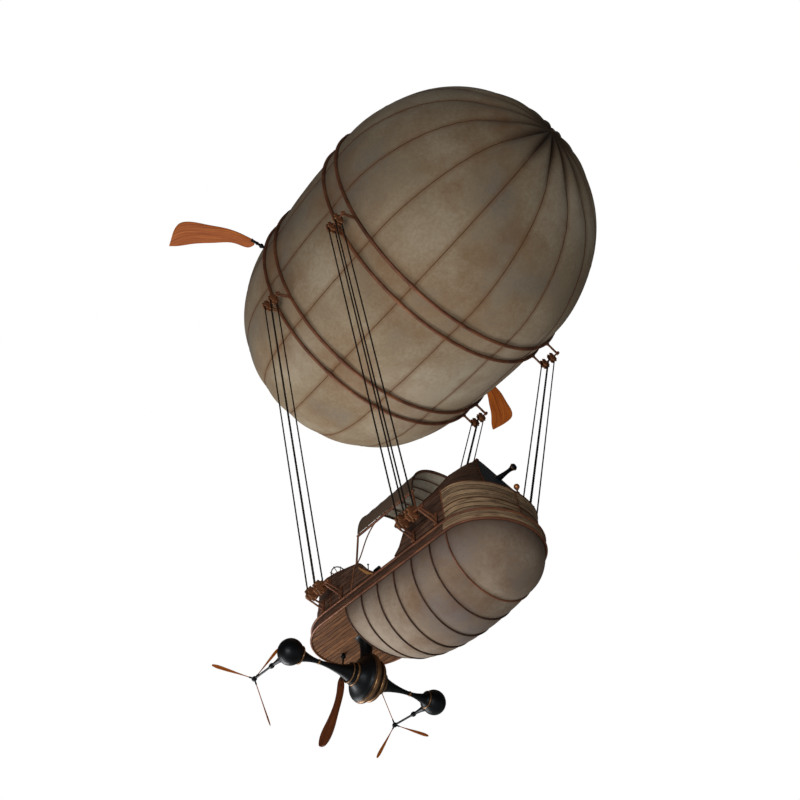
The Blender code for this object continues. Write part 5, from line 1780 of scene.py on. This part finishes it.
@dataclass
class Engine:
    """The cross-bar engine under the stern, its pylon and the two propellers."""

    x: float = -2.44
    z: float = -14.5675
    ball_y: float = 2.2225
    ball: float = 0.32
    prop_x: float = -4.135
    blade: float = 1.19
    floor: float = -13.4603
    drum: Table = ((0.42, 0.34), (0.50, 0.28), (0.51, 0.26), (0.51, 0.20), (0.47, 0.18), (0.50, 0.14),
                   (0.57, 0.08), (0.60, 0.02), (0.60, -0.06))
    rings: Table = ((0.23, 0.512, 0.035, 0.016), (0.0, 0.602, 0.05, 0.018), (-0.37, 0.272, 0.03, 0.018),
                    (0.485, 0.262, 0.022, 0.016), (-0.505, 0.252, 0.02, 0.014), (1.41, 0.052, 0.03, 0.014),
                    (-1.41, 0.052, 0.03, 0.014), (1.955, 0.215, 0.02, 0.014), (-1.955, 0.215, 0.02, 0.014))

    def half_profile(self) -> list[tuple[float, float]]:
        """One arm, from a ball's outer pole in to the drum's flange.

        Returns:
            Rows of radius and distance from the middle plane.
        """
        angle = np.radians(np.linspace(0, 142, 20))
        ball = [(self.ball * math.sin(a), self.ball_y + self.ball * math.cos(a)) for a in angle]
        horn = smooth_line([(0.215, 1.94), (0.19, 1.93), (0.115, 1.80), (0.070, 1.60), (0.052, 1.41)], 14)
        bell = smooth_line([(0.052, 1.41), (0.062, 1.20), (0.095, 0.95), (0.15, 0.70), (0.215, 0.52)], 14)[1:]
        return ball + [(0.215, 1.97)] + [tuple(p) for p in horn] + [tuple(p) for p in bell]

    def body(self) -> Shape:
        """The turned body: ball, horn, bell, flange, drum and the same again.

        Returns:
            The body.
        """
        arm = self.half_profile()
        drum = [(0.255, 0.505), (0.262, 0.49), (0.262, 0.465), (0.33, 0.42), *self.drum, (0.575, -0.12),
                (0.50, -0.17), (0.44, -0.20), (0.36, -0.26), (0.30, -0.32), (0.275, -0.36), (0.275, -0.40),
                (0.255, -0.50)]
        return turned(arm + drum + [(r, -y) for r, y in reversed(arm)], (self.x, 0, self.z), "y", 64)

    def bands(self) -> Shape:
        """Bronze rings: round the drum, at the flanges, the waists and the balls."""
        return joined([turned(ring_profile(radius, y, high, wide), (self.x, 0, self.z), "y", 64, looped=True)
                       for y, radius, wide, high in self.rings])

    def drum_sleeve(self) -> Shape:
        """The bronze sleeve over the middle of the drum, 4 mm proud of it.

        Returns:
            The sleeve.
        """
        outer = [*self.drum, (0.585, -0.10)]
        profile = [(r + 0.004, y) for r, y in outer] + [(r - 0.01, y) for r, y in reversed(outer)]
        return turned(profile, (self.x, 0, self.z), "y", 64, looped=True)

    def cones(self) -> Shape:
        """The cones that carry the shafts, one behind each ball.

        Returns:
            Both cones.
        """
        profile = [(0.0, 0.10), (0.16, 0.10), (0.165, 0.26), (0.12, 0.34), (0.085, 0.42), (0.058, 0.55),
                   (0.044, 0.70), (0.041, 0.80), (0.062, 0.83), (0.066, 0.86), (0.062, 0.90), (0.045, 0.93),
                   (0.038, 0.959), (0.0295, 0.959), (0.0295, 0.85), (0.0, 0.85)]
        return joined([turned([(r, -h) for r, h in profile], (self.x, side * self.ball_y, self.z), "x", 32)
                       for side in SIDES])

    def pylon(self) -> Shape:
        """The round post between the floor and the drum, flared under the floor.

        Returns:
            The post.
        """
        flare = smooth_line([(0.29, 0.02), (0.245, 0.055), (0.20, 0.14), (0.168, 0.27), (0.155, 0.39),
                             (0.158, 0.60), (0.16, 0.70)], 24)
        profile = [(0.0, 0.0), (0.285, 0.0), *[tuple(p) for p in flare], (0.0, 0.70)]
        return turned([(r, self.floor - depth) for r, depth in profile], (self.x, 0, 0), "z", 48)

    def spoke(self, side: int, number: int) -> tuple[Array, Array]:
        """The direction of a blade and the direction round the shaft there.

        Args:
            side: -1 to starboard, 1 to port.
            number: Which of the three blades.

        Returns:
            Both directions.
        """
        angle = math.radians((180 if side < 0 else 0) + 120 * number)
        c, s = math.cos(angle), math.sin(angle)
        return np.array([0.0, c, s]), np.array([0.0, -s, c])

    def blade_shape(self, side: int, number: int) -> Shape:
        """A slim blade: p = centre + s L out + a(s, t) x + b(s, t) around, a lens of chord c(s), twisted.

        Args:
            side: -1 to starboard, 1 to port.
            number: Which of the three blades.

        Returns:
            The blade.
        """
        out, around = self.spoke(side, number)
        share = np.linspace(0.06, 1.0, 40)
        chord = np.interp(share, (0.06, 0.25, 0.45, 0.65, 0.85, 0.95, 1.0),
                          (0.012, 0.012, 0.024, 0.037, 0.044, 0.037, 0.016))
        chord = np.convolve(np.pad(chord, 2, "edge"), np.ones(5) / 5, "valid")
        thick = np.interp(share, (0.06, 0.3, 0.9, 1.0), (0.012, 0.012, 0.008, 0.004))
        pitch = np.radians(25 + 25 * (1 - share)) * side
        turn = turns(14)
        flat = chord[:, None] * np.cos(turn)[None, :]
        proud = thick[:, None] * np.sin(turn)[None, :]
        axial = flat * np.sin(pitch)[:, None] + proud * np.cos(pitch)[:, None]
        tangent = flat * np.cos(pitch)[:, None] - proud * np.sin(pitch)[:, None]
        centre = np.array([self.prop_x, side * self.ball_y, self.z])
        points = (centre + share[:, None, None] * self.blade * out + axial[..., None] * np.array([1.0, 0, 0])
                  + tangent[..., None] * around)
        return lattice(points, grained(share[:, None] * self.blade, flat, 7.0 * number))

    def propeller(self, side: int) -> None:
        """One propeller: blades, a hub with three short arms, and its shaft.

        Args:
            side: -1 to starboard, 1 to port.
        """
        name, body = SIDE_NAME[side], f"propeller_{SIDE_NAME[side]}"
        centre = (self.prop_x, side * self.ball_y, self.z)
        blades = joined([self.blade_shape(side, number) for number in range(3)])
        piece(f"blades_{name}", blades, BLADE_WOOD, body=body, replaces=[body])
        hub = [(0.0, 0.10), (0.02, 0.095), (0.045, 0.06), (0.062, 0.03), (0.066, 0.0), (0.062, -0.03),
               (0.045, -0.06), (0.02, -0.095), (0.0, -0.10)]
        start = (self.x - 0.8525, centre[1], centre[2])
        shaft = [turned(hub, centre, "x", 24), bar(start, centre, 0.027, 16)]
        for number in range(3):
            out, _ = self.spoke(side, number)
            shaft.append(bar(np.array(centre) + out * 0.04, np.array(centre) + out * 0.15, 0.021, 12))
        piece(f"shaft_{name}", joined(shaft), IRON, body=body)

    def build(self) -> None:
        """Makes the engine, the pylon and both propellers."""
        piece("engine_body", self.body(), IRON, replaces=["engine"])
        piece("engine_bands", self.bands(), RING_BRONZE)
        piece("engine_sleeve", self.drum_sleeve(), BAND_BRONZE)
        piece("shaft_cones", self.cones(), IRON)
        piece("engine_pylon", self.pylon(), IRON, replaces=["pylon"])
        for side in SIDES:
            self.propeller(side)


def paddle(left: Array, right: Array, normal: Sequence[float], thick: Array, number: float = 0.0,
           columns: int = 24) -> Shape:
    """A board between two edge lines: p = middle + cos^0.8 a (right - left) / 2 + t sin^0.5 a normal.

    Args:
        left: (rows, 3) one edge.
        right: (rows, 3) the other edge.
        normal: The direction of its thickness.
        thick: (rows,) half thickness.
        number: The board's number.
        columns: Points round the section.

    Returns:
        The closed shape, with the grain along the rows.
    """
    angle = turns(columns)
    c, s = np.cos(angle), np.sin(angle)
    middle, half = (left + right) / 2, (right - left) / 2
    wide, full = np.sign(c) * np.abs(c) ** 0.8, np.sign(s) * np.abs(s) ** 0.5
    points = (middle[:, None] + wide[None, :, None] * half[:, None]
              + (thick[:, None] * full[None, :])[..., None] * np.asarray(normal, float))
    width = np.linalg.norm(half, axis=1)[:, None] * c[None, :]
    return lattice(points, grained(travelled(middle)[:, None], width, number))


@dataclass
class Steering:
    """The rudder on its post and the two fins on their links."""

    rudder_x: float = -3.50
    bottom: float = -13.46
    fin_x: float = -2.21
    half_thick: float = 0.028
    rudder_left: Table = ((-3.46, -14.08), (-3.40, -14.42), (-3.60, -15.00), (-3.78, -15.40), (-3.96, -15.60),
                          (-4.20, -15.68), (-4.34, -15.65))
    rudder_right: Table = ((-3.56, -14.05), (-3.66, -14.12), (-3.72, -14.38), (-4.14, -15.08), (-4.44, -15.46),
                           (-4.42, -15.60), (-4.36, -15.64))
    fin_left: Table = ((-2.165, 5.50), (-2.22, 6.08), (-2.375, 6.60), (-2.60, 7.08), (-2.93, 7.71),
                       (-3.09, 7.85), (-3.60, 7.885))
    fin_right: Table = ((-2.32, 5.37), (-2.52, 5.45), (-2.67, 5.90), (-3.05, 6.46), (-3.575, 7.08),
                        (-4.10, 7.60), (-4.20, 7.74))

    def rudder(self) -> None:
        """The rudder's board, its clamp and its post."""
        lines = [smooth_line(table, 30) for table in (self.rudder_left, self.rudder_right)]
        edges = [grained(line[:, 0], 0.0, line[:, 1]) for line in lines]
        board = paddle(*edges, (0, 1, 0), np.full(30, self.half_thick))
        piece("rudder_board", board, RUDDER_WOOD, body="rudder", replaces=["rudder"])
        clamp = [(0.0262, -14.03), (0.045, -14.03), (0.056, -14.045), (0.056, -14.07), (0.048, -14.08),
                 (0.048, -14.14), (0.056, -14.15), (0.056, -14.175), (0.045, -14.19), (0.0262, -14.19)]
        parts = [turned(clamp, (self.rudder_x, 0, 0), "z", 24, looped=True)]
        for height in (-14.22, -14.34):
            parts.append(bar((self.rudder_x, -0.04, height), (self.rudder_x, 0.04, height), 0.022, 12))
        piece("rudder_clamp", joined(parts), IRON, body="rudder")
        low = self.bottom - 0.0003
        post = [(0.0, low), (0.075, low), (0.075, low - 0.012), (0.045, low - 0.022), (0.06, low - 0.04),
                (0.072, low - 0.07), (0.062, low - 0.10), (0.03, low - 0.125), (0.025, low - 0.14),
                (0.025, -14.15), (0.0, -14.15)]
        piece("rudder_stock", turned(post, (self.rudder_x, 0, 0), "z", 24), IRON, replaces=["rudder_post"])

    def fin(self, side: int) -> None:
        """One fin, its sleeve and its link.

        Args:
            side: -1 to starboard, 1 to port.
        """
        name, body = SIDE_NAME[side], f"fin_{SIDE_NAME[side]}"
        lines = [smooth_line(table, 34) for table in (self.fin_left, self.fin_right)]
        edges = [grained(line[:, 0], side * line[:, 1], 0.0) for line in lines]
        board = paddle(*edges, (0, 0, 1), np.full(34, self.half_thick), 3.0 * side)
        piece(f"fin_board_{name}", board, FIN_WOOD, body=body, replaces=[body])
        sleeve = [(0.0362, 5.285), (0.052, 5.285), (0.062, 5.30), (0.062, 5.335), (0.05, 5.345), (0.05, 5.50),
                  (0.062, 5.51), (0.062, 5.55), (0.05, 5.565), (0.0362, 5.565)]
        parts = [turned([(r, side * y) for r, y in sleeve], (self.fin_x, 0, 0), "y", 24, looped=True)]
        parts.append(bar((self.fin_x, side * 5.53, -0.045), (self.fin_x, side * 5.53, 0.045), 0.03, 16))
        piece(f"fin_sleeve_{name}", joined(parts), IRON, body=body)
        link = [(0.0, 5.056), (0.055, 5.056), (0.055, 5.07), (0.036, 5.08), (0.035, 5.09)]
        link += [(0.085 * math.sin(math.radians(a)), 5.15 - 0.085 * math.cos(math.radians(a)))
                 for a in range(30, 160, 12)]
        link += [(0.035, 5.235), (0.05, 5.245), (0.05, 5.26), (0.035, 5.27), (0.0345, 5.40), (0.0, 5.40)]
        pin = turned([(r, side * y) for r, y in link], (self.fin_x, 0, 0), "y", 24)
        piece(f"fin_pin_{name}", pin, IRON, replaces=[f"fin_link_{name}"])

    def build(self) -> None:
        """Makes the rudder and both fins."""
        self.rudder()
        for side in SIDES:
            self.fin(side)


@dataclass
class DeckGear:
    """What stands on the deck without a joint: the wheel, a lever and a small capsule on a stand."""

    wheel: tuple[float, float, float] = (-2.30, -1.02, -12.05)
    radius: float = 0.285
    deck: float = -13.1722

    def build(self) -> None:
        """Makes the wheel on its stand, the lever and the capsule."""
        x, y, z = self.wheel
        out = grained(0.0, np.cos(turns(48)), np.sin(turns(48)))
        middle = np.array([x, y, z])
        hub = [(0.0, 0.05), (0.04, 0.04), (0.05, 0.0), (0.04, -0.04), (0.0, -0.05)]
        parts = [swept(middle + self.radius * out, circle(0.016, 10), AHEAD, closed=True)]
        parts += [bar(middle + ray * 0.03, middle + ray * 0.32, 0.011, 8) for ray in out[::6]]
        parts.append(turned(hub, middle, "x", 20))
        piece("helm_wheel", joined(parts), TRIM_WOOD)
        stand = [bar((x + 0.02, y, z), (x + 0.22, y, z), 0.025, 12),
                 bar((x + 0.16, y, self.deck), (x + 0.16, y, z + 0.06), 0.045, 16),
                 bar((x + 0.16, y, self.deck), (x + 0.16, y, self.deck + 0.04), 0.10, 20)]
        piece("helm_stand", joined(stand), BRONZED)
        lever = [bar((-0.78, -1.13, self.deck), (-0.80, -1.17, -12.55), 0.013, 10),
                 bar((-0.80, -1.17, -12.57), (-0.80, -1.17, -12.53), 0.026, 12, 0.01)]
        capsule = [bar((-0.41, -1.16, self.deck), (-0.41, -1.16, -12.92), 0.018, 10),
                   bar((-0.53, -1.17, -12.906), (-0.29, -1.17, -12.894), 0.045, 16, 0.02)]
        piece("deck_controls", joined(lever + capsule), IRON)


# Studio


@dataclass
class Studio:
    """Camera, floor, lamps and world."""

    camera: tuple[float, float, float] = (12.98, -10.91, -24.10)
    right: tuple[float, float, float] = (0.6111, 0.7915, -0.0082)
    up: tuple[float, float, float] = (0.5741, -0.4361, 0.6930)
    forward: tuple[float, float, float] = (-0.5450, 0.4282, 0.7209)
    lens: float = 35.66
    floor: float = -24.2
    pale: str = "#e6e6e4"

    def build(self) -> None:
        """Makes the camera, the floor and the light."""
        data = bpy.data.cameras.new("camera")
        data.lens, data.sensor_width = self.lens, 36.0
        data.clip_start, data.clip_end = 0.1, 500.0
        camera = bpy.data.objects.new("camera", data)
        axes = np.array([self.right, self.up, [-v for v in self.forward]]).T
        matrix = Matrix(axes.tolist()).to_4x4()
        matrix.translation = Vector(self.camera)
        camera.matrix_world = matrix
        bpy.context.scene.collection.objects.link(camera)
        bpy.context.scene.camera = camera
        self.stand()
        self.lamps()
        self.world()
        view = bpy.context.scene.view_settings
        view.view_transform, view.look = "Standard", "None"

    def stand(self) -> None:
        """A plain pale floor, a round plate far under the airship."""
        shape = turned([(0.0, -0.1), (60.0, -0.1), (60.0, 0.0), (0.0, 0.0)], (0, 0, self.floor), "z", 64)
        mesh = bpy.data.meshes.new("studio_floor")
        mesh.from_pydata(shape.points, [], [tuple(int(i) for i in f) for block in shape.faces for f in block])
        floor = bpy.data.objects.new("studio_floor", mesh)
        matt = bpy.data.materials.new("pale_floor")
        matt.use_nodes = True
        tree = matt.node_tree
        path = add(tree, "ShaderNodeLightPath")
        # A glow of 0.25 lights the object softly from below, and the camera sees 0.36 more, a pale floor.
        glow = add(tree, "ShaderNodeMath", {0: path.outputs["Is Camera Ray"], 1: 0.36, 2: 0.25},
                   operation="MULTIPLY_ADD")
        wire(tree.nodes["Principled BSDF"], {"Base Color": linear(self.pale), "Roughness": 0.9,
                                             "Emission Color": linear(self.pale), "Emission Strength": glow})
        mesh.materials.append(matt)
        bpy.context.scene.collection.objects.link(floor)

    def lamps(self) -> None:
        """Wide soft lamps: one low and behind, and one low ahead to starboard."""
        for name, place, aim, size, power in (
                ("low_aft", (-16.0, -2.0, -23.0), (-2.0, 0.0, -2.0), 16.0, 4600.0),
                ("low_ahead", (8.0, -17.0, -20.5), (0.0, 0.0, -6.0), 9.0, 1500.0)):
            data = bpy.data.lights.new(name, "AREA")
            data.shape, data.size, data.energy = "DISK", size, power
            lamp = bpy.data.objects.new(name, data)
            lamp.location = place
            lamp.rotation_mode = "QUATERNION"
            lamp.rotation_quaternion = (Vector(aim) - Vector(place)).to_track_quat("-Z", "Y")
            lamp.visible_camera = False
            bpy.context.scene.collection.objects.link(lamp)

    def world(self) -> None:
        """White for the camera, and a soft grey light for the object."""
        world = bpy.data.worlds.new("studio")
        bpy.context.scene.world = world
        world.use_nodes = True
        tree = world.node_tree
        tree.nodes.clear()
        path = add(tree, "ShaderNodeLightPath")
        soft = add(tree, "ShaderNodeBackground", {"Color": (0.92, 0.93, 0.95, 1.0), "Strength": 0.07})
        white = add(tree, "ShaderNodeBackground", {"Color": (1.0, 1.0, 1.0, 1.0), "Strength": 1.0})
        mixed = add(tree, "ShaderNodeMixShader", {0: path.outputs["Is Camera Ray"], 1: soft.outputs[0],
                                                  2: white.outputs[0]})
        add(tree, "ShaderNodeOutputWorld", {"Surface": mixed.outputs[0]})


def main() -> None:
    """Builds the looks round the frame."""
    logging.basicConfig(level=logging.INFO, format="%(name)s: %(message)s")
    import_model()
    Studio().build()
    hull = Hull()
    for part in (Envelope(), Suspension(), hull, Belly(), Forecastle(hull), Canopy(), Engine(), Steering(),
                 DeckGear()):
        part.build()


if __name__ == "__main__":
    main()
